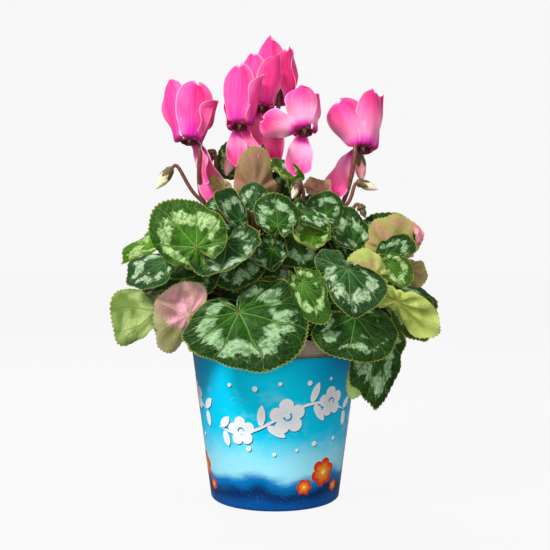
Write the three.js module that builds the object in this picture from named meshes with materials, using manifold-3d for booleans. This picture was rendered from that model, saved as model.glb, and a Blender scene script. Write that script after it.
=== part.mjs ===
// A florist's cyclamen in its nursery pot, standing in a printed cover pot.
// Millimetres, +Z up. The origin is the centre of the cover pot's foot, and the plant's best side faces -Y.
// The tuber sits in a socket in the soil. Every leaf stalk and flower stalk rises from its crown.
import * as THREE from "three";
import { mergeVertices } from "three/addons/utils/BufferGeometryUtils.js";
import Module from "manifold-3d";

const wasm = await Module();
wasm.setup();

// Driving dimensions
const COVER = { rim: 67.5, foot: 52.5, height: 120, wall: 1.5, floor: 2, round: 3, sides: 32 };
const NURSERY = { rim: 61, collar: 57, foot: 43, height: 131, collarHeight: 11, wall: 1.3, floor: 1.5 };
const SOIL_TOP = 126;
const TUBER = { radius: 27, crown: 20, top: 132, middle: 119, bottom: 106 };
const POT_SIDES = 20;
const CROWN = { core: 8.4, inner: 9.3, outer: 19, height: 5, backHalf: 50, split: 2.5 };
const CLEAR = 0.35;

// Leaves
const BLADE = { thick: 0.9, rings: [0.38, 0.72, 1], firstCount: 7, toothDepth: 0.05 };
const SMALL_BLADE = { ...BLADE, rings: [0.5, 1], firstCount: 10, length: 34 };
const FUSED_BLADE = { ...SMALL_BLADE, firstCount: 8 };
const OUTLINE = { centre: 0.48, point: 0.05, pointSpread: 0.22, sinus: 0.42, sinusDepth: 0.86 };
const LEAF_STALK = { radius: 1.4, sides: 4, steps: 3 };
const ROOT = { leafRings: [11.2, 14.2, 17.2], flowerRings: [3.2, 6.4], height: 134.8, margin: 7 };

// Flowers and buds
const FLOWER_STALK = { radius: 1.8, sides: 5 };
const BUD_STALK = { radius: 1.4, sides: 4 };
const TUBE = { length: 8, mouth: 5.9, neck: 3.6, wall: 1.3, sides: 7 };
const PETAL = { thick: 0.8, columns: 2, foot: 0.26, widest: 0.66, flare: 0.16, seat: 4.6 };
const CALYX = { length: 4, radius: 3.7, sides: 5 };
const BUD = { radius: 4.4, twist: 1.2, sides: 7 };
const HOOK = { side: 8.6, above: 14, below: 7 };

// The leaf tables give for each blade: where the stalk meets it; its tip; the way its upper face looks
// (degrees to the right, degrees up); width; curl across, curl along and fold at the midrib in degrees,
// where plus turns down; wave at the edge in blade radii; phase of the wave; and for some, the way that the
// stalk comes from, in millimetres from the blade.

// Leaves of the front, from the back of the plant to the front
const FRONT_LEAVES = [
  ["leaf_top_right_inner", [62, -40, 204], [56, -28, 240], [12, 22], 0.85, 15, 10, 0, 0.05, 2],
  ["leaf_top_olive", [-15, -34, 248], [-17, -28, 283], [178, 10], 0.82, -15, -8, 0, 0.05, 0],
  ["leaf_top_plum", [35, -27, 247], [33, -22, 261], [180, 15], 1.25, -12, 0, 0, 0.05, 0],
  ["leaf_top_right_low", [40, -38, 230], [37, -29, 246], [5, 40], 1.3, 10, 0, 0, 0.05, 0],
  ["leaf_top_curled", [13, -26, 257], [-2, -14, 275], [0, 40], 0.85, -50, 0, 0, 0.08, 0],
  ["leaf_top_sliver", [-39, -27, 250], [-57, -23, 259], [170, 35], 0.7, -10, 0, 0, 0.05, 0],
  ["leaf_top_small", [-15, -34, 235], [-17, -26, 255], [0, 30], 0.95, 20, 0, 0, 0.05, 0],
  ["leaf_right_plum", [106, -26, 187], [122, -18, 180], [165, 10], 0.95, -10, 0, 0, 0.05, 0],
  ["leaf_right_low_green", [104, -40, 160], [114, -46, 130], [35, 15], 1.1, 15, 10, 0, 0.05, 0],
  ["leaf_right_olive", [86, -34, 202], [97, -26, 231], [175, 10], 1.15, -15, -30, 0, 0.06, 0],
  ["leaf_left_pointed", [-89, -46, 210], [-119, -38, 187], [-50, 35], 0.55, 30, 0, 0, 0.05, 0],
  ["leaf_middle_cup", [-2, -56, 203], [-5, -78, 180], [5, 60], 1.05, -35, -20, 0, 0.05, 0],
  ["leaf_right_small", [84, -48, 197], [110, -44, 201], [15, 50], 0.75, 10, 0, 0, 0.05, 0],
  ["leaf_right_bright", [85, -56, 192], [97, -62, 171], [20, 25], 0.85, 20, 0, 0, 0.05, 0],
  ["leaf_upper_left", [-26, -54, 224], [-41, -46, 252], [-12, 20], 0.82, -15, 0, -20, 0.05, 0],
  ["leaf_left_blue", [-82, -64, 193], [-112, -60, 176], [-25, 35], 0.82, 25, 15, 0, 0.05, 0],
  ["leaf_centre_ring", [28, -58, 215], [27, -84, 193], [15, 60], 1.05, -40, -25, 0, 0.05, 0],
  ["leaf_upper_right", [19, -52, 232], [49, -54, 223], [10, 65], 0.8, 40, 0, 0, 0.05, 0],
  ["leaf_left_crescent", [-36, -60, 206], [-42, -90, 180], [-20, 50], 1.25, -25, -15, 0, 0.05, 0],
  ["leaf_left_pale", [-88, -62, 156], [-126, -56, 159], [178, -28], 1.25, -45, -5, 0, 0.06, 0],
  ["leaf_right_lime", [71, -64, 182], [66, -60, 205], [180, 5], 1.3, -25, 0, 0, 0.05, 0],
  ["leaf_upper_middle", [2, -70, 220], [0, -58, 243], [0, 32], 1.12, 15, 10, 0, 0.05, 0, [0, 36, 22]],
  ["leaf_right_hanging_under", [71, -60, 117], [58, -60, 89], [180, 0], 0.55, -10, 0, 0, 0.02, 0],
  ["leaf_right_low_lime", [90, -62, 164], [126, -52, 138], [165, 30], 0.68, -30, 0, 0, 0.05, 0],
  ["leaf_left_pink", [-64, -74, 154], [-91, -70, 165], [178, -10], 1.45, 0, 0, -26, 0.05, 0],
  ["leaf_right_hanging", [77, -74, 135], [67, -76, 84], [25, 8], 0.55, 30, 10, 0, 0.05, 0],
  ["leaf_front_right", [59, -82, 153], [52, -94, 121], [5, 22], 1.45, 20, 18, 0, 0.05, 0],
  ["leaf_right_dark", [53, -84, 193], [55, -100, 153], [8, 22], 1.0, 10, 10, 0, 0.09, 0],
  ["leaf_centre_long", [19, -88, 178], [37, -100, 149], [0, 20], 0.66, 35, 10, 0, 0.05, 0],
  ["leaf_left_large", [-57, -84, 204], [-86, -72, 234], [-14, 20], 1.02, 18, 10, 0, 0.05, 0, [16, 46, 80]],
  ["leaf_front_large", [-26, -92, 157], [-4, -110, 116], [-4, 28], 1.42, 14, 18, 0, 0.05, 0],
];

// Leaves inside the bush, which share one crown with the stalks of the front leaves
const INNER_LEAVES = [
  ["side", [74, -26, 168], [102, -29, 138], [85, 35], 1.05, 20, 10, 0, 0.05, 2],
  ["side", [-72, -16, 182], [-102, -18, 152], [-85, 35], 1.05, 20, 10, 0, 0.05, 0],
  ["under the front", [0, -70, 163], [-4, -60, 182], [0, 55], 1.3, 10, 0, 0, 0.05, 0],
  ["inner", [-36, -38, 158], [-64, -54, 144], [-25, 45], 1.05, 20, 10, 0, 0.05, 1],
  ["inner", [42, -38, 156], [66, -54, 142], [25, 45], 1.05, 20, 10, 0, 0.05, 2],
  ["inner", [-46, -34, 188], [-66, -46, 160], [-20, 35], 1.1, 15, 10, 0, 0.05, 0],
  ["inner", [-6, -34, 192], [-10, -50, 160], [0, 35], 1.1, 20, 10, 0, 0.05, 1],
  ["inner", [46, -34, 196], [64, -46, 168], [15, 35], 1.1, 20, 10, 0, 0.05, 0],
];

// Leaves of the back, which share one crown
const BACK_LEAVES = [
  ["seen past the front", [-33, 18, 268], [-38, 26, 292], [-10, 20], 1.0, 15, 0, 0, 0.05, 1],
  ["low", [70, 26, 172], [104, 34, 140], [108, 35], 1.05, 20, 15, 0, 0.06, 0],
  ["low", [52, 54, 166], [78, 86, 138], [140, 35], 1.05, 20, 10, 0, 0.06, 2],
  ["low", [14, 72, 168], [22, 108, 134], [170, 30], 1.1, 15, 20, 0, 0.06, 1],
  ["low", [-28, 68, 164], [-46, 100, 134], [203, 35], 1.05, 20, 10, 0, 0.06, 3],
  ["low", [-66, 40, 170], [-98, 56, 140], [240, 35], 1.1, 20, 10, 0, 0.06, 0],
  ["middle", [56, 22, 212], [88, 36, 190], [112, 50], 1.0, 20, 10, 0, 0.06, 1],
  ["middle", [28, 48, 210], [42, 80, 188], [152, 45], 1.05, 15, 15, 0, 0.06, 2],
  ["middle", [-14, 52, 214], [-20, 84, 190], [190, 45], 1.05, 20, 10, 0, 0.06, 3],
  ["middle", [-50, 28, 208], [-80, 44, 186], [240, 50], 1.05, 15, 10, 0, 0.06, 0],
  ["top", [26, 22, 244], [44, 44, 232], [140, 55], 1.0, 20, 10, 0, 0.06, 1],
  ["top", [-16, 30, 246], [-26, 56, 232], [200, 55], 1.0, 20, 10, 0, 0.06, 2],
];

// Blooms: the middle of the mouth; the way the mouth faces; where the stalk passes it (degrees to the right of
// the front); where the stalk runs further down; petals as [place round the mouth, heading at the tip from
// straight up, length, width, curl of the sides, turn of the tip to the side].
const BLOOMS = [
  {
    name: "bloom_left",
    mouth: [-67, -30, 286],
    faces: [0, -78],
    stalkSide: 160,
    path: [[-57, -12, 240], [-12, 1, 196]],
    petals: [[-92, 16, 56, 28, 35, -8], [2, 3, 58, 32, 35, 4], [92, 15, 50, 28, 40, 8], [66, 166, 34, 19, 25, 0], [46, 148, 54, 23, 35, 25]],
  },
  {
    name: "bloom_centre_left",
    mouth: [-28, -27, 298],
    faces: [0, -80],
    stalkSide: 180,
    path: [[-24, -6, 250], [-12, -3, 200]],
    petals: [[-28, 4, 60, 27, 45, 0], [-115, 7, 54, 24, 35, 0], [84, 20, 47, 27, 50, 0], [44, 152, 32, 20, 30, 0], [-12, 170, 32, 18, 25, 0]],
  },
  {
    name: "bloom_centre",
    mouth: [-11, 0, 316],
    faces: [0, -82],
    stalkSide: 180,
    path: [[-8, 3, 262], [-4, 1, 200]],
    petals: [[-56, 3, 52, 27, 40, 0], [28, 11, 57, 30, 40, 0], [92, 18, 50, 26, 35, 0], [62, 158, 42, 19, 30, 0], [-18, 170, 38, 19, 30, 0]],
  },
  {
    name: "bloom_top",
    mouth: [5, 36, 324],
    faces: [180, -84],
    stalkSide: -15,
    path: [[3, 4, 284], [1, 3, 210]],
    petals: [[-72, 10, 66, 30, 40, 0], [58, 9, 58, 29, 45, 0], [122, 13, 54, 27, 35, 0], [-128, 12, 58, 27, 35, 0], [176, 14, 54, 27, 35, 0]],
  },
  {
    name: "bloom_centre_right",
    mouth: [23, -36, 293],
    faces: [0, -80],
    stalkSide: 175,
    path: [[18, -1, 246], [8, 0, 196]],
    petals: [[20, 2, 46, 30, 35, 0], [-82, 72, 40, 25, 30, 0], [90, 15, 46, 22, 55, 0], [-10, 172, 42, 25, 25, 0], [-126, 13, 44, 25, 35, 0]],
  },
  {
    name: "bloom_right",
    mouth: [71, -10, 282],
    faces: [-5, -80],
    stalkSide: -126,
    path: [[54, -6, 238], [16, -1, 192]],
    petals: [[-50, 19, 53, 33, 35, 0], [160, 8, 54, 27, 35, 0], [85, 8, 60, 27, 45, 0], [-72, 154, 45, 21, 30, 0], [20, 7, 51, 29, 40, 0]],
  },
  {
    name: "bloom_low_right",
    mouth: [113, 10, 204],
    faces: [-60, -60],
    stalkSide: -90,
    path: [[86, 8, 188], [26, 6, 180]],
    petals: [[0, 14, 38, 24, 35, 0], [68, 16, 40, 24, 35, 0], [136, 14, 38, 24, 35, 0], [-150, 18, 38, 22, 35, 0], [-35, 150, 30, 18, 25, 0]],
  },
];

// Buds: the top of the bud under its calyx; its tip; the top of the stalk's arch; further down the stalk.
// A bud that is still brown and closed is one with its stalk.
const BUDS = [
  { name: "bud_left", top: [-84, -20, 264], tip: [-94, -24, 250], arch: [-79, -18, 269], path: [[-64, -12, 246], [-14, 2, 204]] },
  { name: "bud_top_left", top: [-34, 2, 280], tip: [-40, 0, 262], arch: [-31, 4, 284], path: [[-26, 6, 262], [-10, 4, 215]] },
  { name: "bud_pink_left", top: [-55, -2, 260], tip: [-54, -4, 243], arch: [-53, 1, 265], path: [[-42, -2, 238], [-12, -2, 204]] },
  { name: "bud_middle", top: [17, -54, 251], tip: [13, -58, 241], arch: [19, -51, 254], path: [[22, -44, 244], [8, -9, 200]] },
  { name: "bud_right", top: [69, -15, 255], tip: [82, -17, 250], arch: [64, -14, 254], path: [[59, -12, 240], [20, -4, 200]] },
  { name: "bud_salmon", top: [69, 5, 277], tip: [71, 3, 257], arch: [66, 6, 282], path: [[60, 6, 262], [18, 3, 200]] },
  { name: null, top: [-53, 9, 280], tip: [-52, 10, 272], arch: [-50, 9, 283], path: [[-47, 4, 260], [-13, -4, 205]] },
  { name: null, top: [69, -21, 234], tip: [72, -23, 226], arch: [65, -20, 238], path: [[58, -17, 228], [16, -4, 186]] },
];

const UP = new THREE.Vector3(0, 0, 1);
const degrees = THREE.MathUtils.degToRad;
const vector = (list) => new THREE.Vector3(...list);
const smooth = (t) => THREE.MathUtils.smoothstep(t, 0, 1);
const between = THREE.MathUtils.lerp;

/** The direction that points so many degrees to the right of the front and so many above the level. */
const facing = ([right, up]) => {
  const [a, e] = [degrees(right), degrees(up)];
  return new THREE.Vector3(Math.sin(a) * Math.cos(e), -Math.cos(a) * Math.cos(e), Math.sin(e));
};

/** A closed geometry as a manifold solid. */
function solid(geometry) {
  const bare = new THREE.BufferGeometry().setAttribute("position", geometry.getAttribute("position"));
  if (geometry.index) bare.setIndex(geometry.index);
  const merged = mergeVertices(bare, 1e-4);
  return new wasm.Manifold(
    new wasm.Mesh({
      numProp: 3,
      vertProperties: merged.attributes.position.array,
      triVerts: new Uint32Array(merged.index.array),
    }),
  );
}

/** A manifold solid as a three.js geometry. */
function geometryOf(body) {
  const mesh = body.getMesh();
  const geometry = new THREE.BufferGeometry();
  geometry.setAttribute("position", new THREE.BufferAttribute(mesh.vertProperties, 3));
  geometry.setIndex(new THREE.BufferAttribute(mesh.triVerts, 1));
  return geometry;
}

/** Bodies joined into one, without the slivers that the joining leaves. */
const fuse = (bodies) => bodies.reduce((joined, body) => joined.add(body)).asOriginal().simplify(0.1);

/** A thin closed sheet round a middle surface, split into the same triangles on both faces. */
function sheet(points, triangles, border, thick) {
  const middle = new THREE.BufferGeometry().setFromPoints(points);
  middle.setIndex(triangles.flat());
  middle.computeVertexNormals();
  const normals = middle.getAttribute("normal");
  const sides = [0.5, -0.5].map((share) =>
    points.map((point, i) =>
      point.clone().addScaledVector(new THREE.Vector3().fromBufferAttribute(normals, i), share * thick),
    ),
  );
  const under = points.length;
  const faces = [...triangles];
  for (const [a, b, c] of triangles) faces.push([c + under, b + under, a + under]);
  border.forEach((a, i) => {
    const b = border[(i + 1) % border.length];
    faces.push([b, a, a + under], [b, a + under, b + under]);
  });
  const closed = new THREE.BufferGeometry().setFromPoints(sides.flat());
  closed.setIndex(faces.flat());
  return solid(closed);
}

/** A turned solid about +Z from [radius, height] pairs, with the underside first. */
function turned(profile, sides) {
  const points = profile.map(([radius, height]) => new THREE.Vector2(radius, height));
  return solid(new THREE.LatheGeometry(points, sides).rotateX(Math.PI / 2));
}

/** A solid moved to a point with its +Z turned to a direction. */
function placed(body, point, direction) {
  const turn = new THREE.Quaternion().setFromUnitVectors(UP, direction);
  return body.transform(new THREE.Matrix4().compose(point, turn, new THREE.Vector3(1, 1, 1)).elements);
}

/** A round rod along a curve. */
function rod(curve, { radius, sides }, steps) {
  const corners = [];
  for (let i = 0; i < sides; i++) {
    const angle = (2 * Math.PI * i) / sides;
    corners.push(new THREE.Vector2(radius * Math.cos(angle), radius * Math.sin(angle)));
  }
  const options = { steps, extrudePath: curve, bevelEnabled: false };
  return solid(new THREE.ExtrudeGeometry(new THREE.Shape(corners), options));
}

/** A rod through points, with as many steps between close points as between distant ones. */
function rodThrough(points, size) {
  const curve = new THREE.CatmullRomCurve3(points);
  curve.getUtoTmapping = (share) => share;
  return rod(curve, size, Math.round((points.length - 1) * 1.25));
}

// Pots, soil and tuber

function coverPot() {
  const { rim, foot, height, wall, floor, round, sides } = COVER;
  return turned(
    [
      [0, 0],
      [foot - round, 0],
      [foot - round * 0.3, round * 0.3],
      [foot, round],
      [rim, height],
      [rim - wall, height],
      [foot - wall, floor + 1],
      [foot - wall - 1, floor],
      [0, floor],
    ],
    sides,
  );
}

function nurseryPot() {
  const { rim, collar, foot, height, collarHeight, wall, floor } = NURSERY;
  const top = COVER.floor + height;
  const shoulder = top - collarHeight;
  return turned(
    [
      [0, COVER.floor],
      [foot, COVER.floor],
      [collar, shoulder],
      [rim - 1, shoulder],
      [rim, top],
      [rim - wall, top],
      [rim - wall - 1, shoulder + wall],
      [collar - wall, shoulder],
      [foot - wall, COVER.floor + floor],
      [0, COVER.floor + floor],
    ],
    POT_SIDES,
  );
}

// The flattened tuber has a flat crown, on which the stalks stand.
const TUBER_SIDE = [
  [14, TUBER.bottom],
  [23, 111],
  [TUBER.radius, TUBER.middle],
  [25.5, SOIL_TOP],
];

const tuber = () =>
  turned([[0, TUBER.bottom], ...TUBER_SIDE, [TUBER.crown, TUBER.top], [0, TUBER.top]], POT_SIDES);

/** The soil fills the nursery pot and has a socket for the buried part of the tuber. */
function soil() {
  const bottom = COVER.floor + NURSERY.floor;
  const inside = NURSERY.wall + CLEAR;
  const shoulder = COVER.floor + NURSERY.height - NURSERY.collarHeight;
  const socket = TUBER_SIDE.map(([radius, height]) => [radius + CLEAR, height - CLEAR]);
  return turned(
    [
      [0, bottom],
      [NURSERY.foot - inside, bottom],
      [NURSERY.collar - inside, shoulder],
      [NURSERY.collar - inside, SOIL_TOP - 1],
      [46, SOIL_TOP + 0.5],
      [36, SOIL_TOP + 2],
      ...socket.reverse(),
      [0, TUBER.bottom - CLEAR],
    ],
    POT_SIDES,
  );
}

/** Part of the flat ring of the crown, centred on an angle from the front. */
function crownSector(middle, half) {
  const from = degrees(middle - half - 90);
  const to = degrees(middle + half - 90);
  const shape = new THREE.Shape();
  shape.absarc(0, 0, CROWN.outer, from, to, false);
  shape.absarc(0, 0, CROWN.inner, to, from, true);
  shape.closePath();
  const options = { depth: CROWN.height, bevelEnabled: false, curveSegments: Math.round(half / 10) };
  return solid(new THREE.ExtrudeGeometry(shape, options).translate(0, 0, TUBER.top));
}

/** The middle of the crown, which the flowers rise from. */
const crownCore = () =>
  turned([[0, TUBER.top], [CROWN.core, TUBER.top], [CROWN.core - 1.5, TUBER.top + CROWN.height], [0, TUBER.top + CROWN.height + 1]], 12);

// Leaves

/** How far the blade's edge lies from the stalk, in blade radii. Angle 0 is the tip, and the sinus is opposite. */
function reach(angle) {
  const round = OUTLINE.centre * Math.cos(angle) + Math.sqrt(1 - (OUTLINE.centre * Math.sin(angle)) ** 2);
  const point = OUTLINE.point * Math.exp(-((angle / OUTLINE.pointSpread) ** 2));
  const open = smooth((Math.PI - Math.abs(angle)) / OUTLINE.sinus);
  return (round + point) * (1 - OUTLINE.sinusDepth * (1 - open));
}

/** Rolls a strip: s along it, h above it, curl in radians for each blade radius. */
function bend(s, h, curl) {
  if (Math.abs(curl) < 1e-4) return [s, h];
  return [(1 / curl + h) * Math.sin(s * curl), (1 / curl + h) * Math.cos(s * curl) - 1 / curl];
}

/** A point of the blade's middle surface, in blade radii, with the tip along +Y and the upper face up. */
function bladePoint({ width, across, along, fold, wave, phase }, angle, r, trim = 1) {
  const out = reach(angle) * r * trim;
  const flat = width * out * Math.sin(angle);
  const side = flat * Math.cos(degrees(fold));
  const height = wave * r ** 3 * Math.sin(3 * angle + phase) - Math.abs(flat) * Math.sin(degrees(fold));
  const [x, h] = bend(side, height, degrees(across));
  const [y, z] = bend(out * Math.cos(angle), h, degrees(along));
  return new THREE.Vector3(x, y, z);
}

/** Turns a blade so that it runs from its stalk to its tip with its upper face towards the given way. */
function bladeMatrix(leaf) {
  const tip = bladePoint(leaf, 0, 1);
  const frame = (chord, up) => {
    const y = chord.clone().normalize();
    const z = up.clone().addScaledVector(y, -up.dot(y)).normalize();
    return new THREE.Matrix4().makeBasis(new THREE.Vector3().crossVectors(y, z), y, z);
  };
  const chord = leaf.tip.clone().sub(leaf.base);
  const size = chord.length() / tip.length();
  const turn = frame(chord, facing(leaf.face)).multiply(frame(tip, UP).transpose());
  return turn.scale(new THREE.Vector3(size, size, size)).setPosition(leaf.base);
}

/** A blade as a closed sheet: rings of points round the stalk, each with twice as many as the last. */
function blade(leaf) {
  const { rings, firstCount, toothDepth, thick } = leaf.detail;
  const matrix = bladeMatrix(leaf);
  const points = [new THREE.Vector3(0, 0, 0)];
  const triangles = [];
  let inner = null;
  let count = firstCount;
  for (const r of rings) {
    const start = points.length;
    for (let k = 0; k < count; k++) {
      const notch = r === 1 && k > 0 && k % 2 === 0 ? 1 - toothDepth : 1;
      points.push(bladePoint(leaf, -Math.PI + (2 * Math.PI * k) / count, r, notch));
    }
    for (let k = 0; k < (inner ? count / 2 : count); k++) {
      if (!inner) {
        triangles.push([0, start + ((k + 1) % count), start + k]);
        continue;
      }
      const [a, b] = [inner + k, inner + ((k + 1) % (count / 2))];
      const [c, d, e] = [start + 2 * k, start + 2 * k + 1, start + ((2 * k + 2) % count)];
      triangles.push([a, d, c], [a, b, d], [b, e, d]);
    }
    inner = start;
    count *= 2;
  }
  const border = [];
  for (let i = points.length - 1; i >= inner; i--) border.push(i);
  const middle = points.map((point) => point.applyMatrix4(matrix));
  return sheet(middle, triangles, border, thick);
}

/** A leaf from its row in a table. */
function leafOf([name, base, tip, face, width, across, along, fold, wave, phase, over], fused = false) {
  const shape = { face, width, across, along, fold, wave, phase };
  const leaf = { name, base: vector(base), tip: vector(tip), over, ...shape };
  const small = leaf.base.distanceTo(leaf.tip) < SMALL_BLADE.length ? SMALL_BLADE : BLADE;
  leaf.detail = fused ? FUSED_BLADE : small;
  return leaf;
}

/** Moves each leaf a millimetre at a time along Y until it lies clear of the bodies given and of those before. */
function layClear(rows, bodies, step, fused = false) {
  const laid = [];
  for (const row of rows) {
    const leaf = leafOf(row, fused);
    let body = blade(leaf);
    while ([...bodies, ...laid.map((other) => other.body)].some((other) => body.minGap(other, CLEAR) < CLEAR)) {
      leaf.base.y += step;
      leaf.tip.y += step;
      body = body.translate([0, step, 0]);
    }
    laid.push({ leaf, body });
  }
  return laid;
}

/** Places in part of the crown for stalks, in the order of the ways in which they lean, so that few cross. */
function spreadRoots(feet, middle, half, rings) {
  const turn = ({ x, y }) => ((THREE.MathUtils.radToDeg(Math.atan2(x, -y)) - middle + 540) % 360) - 180;
  const order = feet.map((foot, i) => [turn(foot), i]).sort((a, b) => a[0] - b[0]);
  const roots = [];
  order.forEach(([, i], rank) => {
    const angle = middle + half * ((2 * rank + 1) / feet.length - 1);
    roots[i] = facing([angle, 0]).multiplyScalar(rings[rank % rings.length]).setZ(ROOT.height);
  });
  return roots;
}

/** A leaf's stalk, from its root in the crown to the blade. */
function leafStalk(leaf, root, gap) {
  const chord = leaf.tip.clone().sub(leaf.base).normalize();
  const up = facing(leaf.face);
  const normal = up.addScaledVector(chord, -up.dot(chord)).normalize();
  // A blade that shows its underside is reached at its sinus, and the others from below.
  const away = leaf.base.x * normal.x + leaf.base.y * normal.y < 0;
  const end = leaf.base.clone().addScaledVector(normal, away ? gap * 1.6 : -gap);
  if (away) end.addScaledVector(chord, -leaf.base.distanceTo(leaf.tip) * 0.05);
  const arrive = away
    ? chord.clone().addScaledVector(normal, -0.4).normalize()
    : normal.clone().multiplyScalar(0.8).addScaledVector(chord, 0.6);
  const span = end.distanceTo(root);
  const outward = end.clone().sub(root).setZ(0).normalize();
  const rise = root.clone().addScaledVector(outward, span * 0.12).addScaledVector(UP, span * 0.3);
  const meet = end.clone();
  if (leaf.over) meet.add(vector(leaf.over));
  else meet.addScaledVector(arrive, -span * 0.3);
  return rod(new THREE.CubicBezierCurve3(root, rise, meet, end), LEAF_STALK, LEAF_STALK.steps);
}

/** The stalks of leaves that share part of the crown. */
function leafStalks(leaves, middle, half, gaps) {
  const roots = spreadRoots(leaves.map(({ base }) => base), middle, half - ROOT.margin, ROOT.leafRings);
  return leaves.map((leaf, i) => leafStalk(leaf, roots[i], gaps[i]));
}

// Flowers and buds

/** A flower's directions: its axis away from the mouth, and the way out at an angle from the front. */
function flowerFrame(faces) {
  const axis = facing(faces).negate();
  const front = new THREE.Vector3(0, -1, 0).addScaledVector(axis, axis.y).normalize();
  const right = new THREE.Vector3().crossVectors(axis, front).normalize();
  if (right.x < 0) right.negate();
  const out = (angle) =>
    front.clone().multiplyScalar(Math.cos(degrees(angle))).addScaledVector(right, Math.sin(degrees(angle)));
  return { axis, out };
}

/** The width of a petal along its length, as a share of its greatest. */
function petalWidth(t) {
  const { foot, widest } = PETAL;
  if (t < widest) return between(foot, 1, Math.sin((Math.PI / 2) * (t / widest)));
  return Math.sqrt(1 - 0.8 * ((t - widest) / (1 - widest)) ** 2);
}

/** A petal folds back at the mouth and then runs on, up past the tube or down. */
function petal(mouth, { axis, out }, [place, lean, length, width, curl, turn]) {
  const outward = out(place);
  const side = new THREE.Vector3().crossVectors(axis, outward);
  const first = 118;
  const heading = (t) => degrees(between(first, lean, smooth(t / PETAL.flare)));
  const tangent = (t) =>
    axis.clone().multiplyScalar(Math.cos(heading(t))).addScaledVector(outward, Math.sin(heading(t)));
  const points = [];
  const spot = mouth.clone().addScaledVector(outward, PETAL.seat).addScaledVector(axis, 1);
  const pieces = 40;
  const rows = [0, 5, 13, 27, 40];
  for (let piece = 0; piece <= pieces; piece++) {
    const t = piece / pieces;
    if (rows.includes(piece)) {
      const along = tangent(t);
      const across = side.clone().applyAxisAngle(along, degrees(turn * t));
      const inward = new THREE.Vector3().crossVectors(across, along);
      if (inward.dot(outward) * (lean > 90 ? -1 : 1) > 0) inward.negate();
      const half = (width / 2) * petalWidth(t);
      for (let column = 0; column <= PETAL.columns; column++) {
        const share = (2 * column) / PETAL.columns - 1;
        const roll = degrees(curl) * share;
        const radius = half / degrees(curl);
        const point = spot.clone().addScaledVector(across, radius * Math.sin(roll));
        points.push(point.addScaledVector(inward, radius * (1 - Math.cos(roll))));
      }
    }
    spot.addScaledVector(tangent(t), length / pieces);
  }
  const line = PETAL.columns + 1;
  const last = rows.length - 1;
  const triangles = [];
  for (let row = 0; row < last; row++) {
    for (let column = 0; column < PETAL.columns; column++) {
      const i = row * line + column;
      triangles.push([i, i + 1, i + line], [i + 1, i + line + 1, i + line]);
    }
  }
  const border = [];
  for (let column = 0; column < line; column++) border.push(column);
  for (let row = 1; row <= last; row++) border.push(row * line + PETAL.columns);
  for (let column = PETAL.columns - 1; column >= 0; column--) border.push(last * line + column);
  for (let row = last - 1; row > 0; row--) border.push(row * line);
  return sheet(points, triangles, border, PETAL.thick);
}

/** A bloom: the short tube, open at the mouth, with its petals. */
function bloom({ mouth, faces, petals }) {
  const frame = flowerFrame(faces);
  const { length, mouth: wide, neck, wall, sides } = TUBE;
  const tube = turned(
    [
      [0, length - wall],
      [neck - wall, length - wall],
      [wide - wall, 0],
      [wide, 0],
      [neck, length],
      [0, length],
    ],
    sides,
  );
  const point = vector(mouth);
  return fuse([placed(tube, point, frame.axis), ...petals.map((row) => petal(point, frame, row))]);
}

/** A green cap that sits on a flower's tube or on a bud. */
const calyx = (point, direction) =>
  placed(
    turned(
      [
        [0, 0],
        [CALYX.radius, 0],
        [1.6, CALYX.length],
        [0, CALYX.length],
      ],
      CALYX.sides,
    ),
    point,
    direction,
  );

/** A flower's stalk rises beside the mouth and hooks over into the cap on the tube. */
function flowerStalk({ mouth, faces, stalkSide, path }, root) {
  const { axis, out } = flowerFrame(faces);
  const side = out(stalkSide);
  const at = (sideways, above) =>
    vector(mouth).addScaledVector(side, sideways).addScaledVector(axis, above);
  const cap = TUBE.length + CLEAR;
  const points = [
    root,
    ...path.map(vector).reverse(),
    at(HOOK.side, -HOOK.below),
    at(HOOK.side, HOOK.above - 7),
    at(HOOK.side * 0.75, HOOK.above),
    at(HOOK.side * 0.25, HOOK.above + 2),
    at(0, cap + CALYX.length - 1),
  ];
  return [rodThrough(points, FLOWER_STALK), calyx(at(0, cap), axis)];
}

/** A bud's stalk arches over into the bud's cap. */
function budStalk({ top, tip, arch, path }, root) {
  const back = vector(top).sub(vector(tip)).normalize();
  const end = vector(top).addScaledVector(back, CALYX.length - 1);
  const points = [root, ...path.map(vector).reverse(), vector(arch), end];
  return [rodThrough(points, BUD_STALK), calyx(vector(top), back)];
}

/** A pointed bud with its petals rolled round one another. */
function bud({ name, top, tip }) {
  const down = vector(tip).sub(vector(top));
  const length = down.length();
  down.normalize();
  const radius = Math.min(BUD.radius, length * 0.26);
  const profile = [
    [0, 0],
    [radius * 0.7, 0],
    [radius, length * 0.3],
    [radius * 0.75, length * 0.62],
    [radius * 0.2, length * 0.95],
    [0, length],
  ];
  const body = turned(profile, BUD.sides).warp((point) => {
    const angle = (BUD.twist * point[2]) / length;
    const [x, y] = point;
    point[0] = x * Math.cos(angle) - y * Math.sin(angle);
    point[1] = x * Math.sin(angle) + y * Math.cos(angle);
  });
  return placed(body, vector(top).addScaledVector(down, name ? CLEAR : -1), down);
}

// The plant in its pots

const group = new THREE.Group();

const COLOURS = {
  cover: [0x12a5dc, 0.25],
  nursery: [0x8a6f63, 0.6],
  soil: [0x3a271b, 1],
  tuber: [0x5b4230, 0.9],
  stalk: [0x6d3a2f, 0.6],
  leaf: [0x2f6b36, 0.5],
  underside: [0x94a45a, 0.6],
  plum: [0x8a6a5f, 0.6],
  petal: [0xf0389a, 0.6],
  bud: [0xe9dcc0, 0.6],
};

function add(name, body, look) {
  const [color, roughness] = COLOURS[look];
  const mesh = new THREE.Mesh(geometryOf(body), new THREE.MeshStandardMaterial({ color, roughness, metalness: 0 }));
  mesh.name = name;
  group.add(mesh);
}

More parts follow.
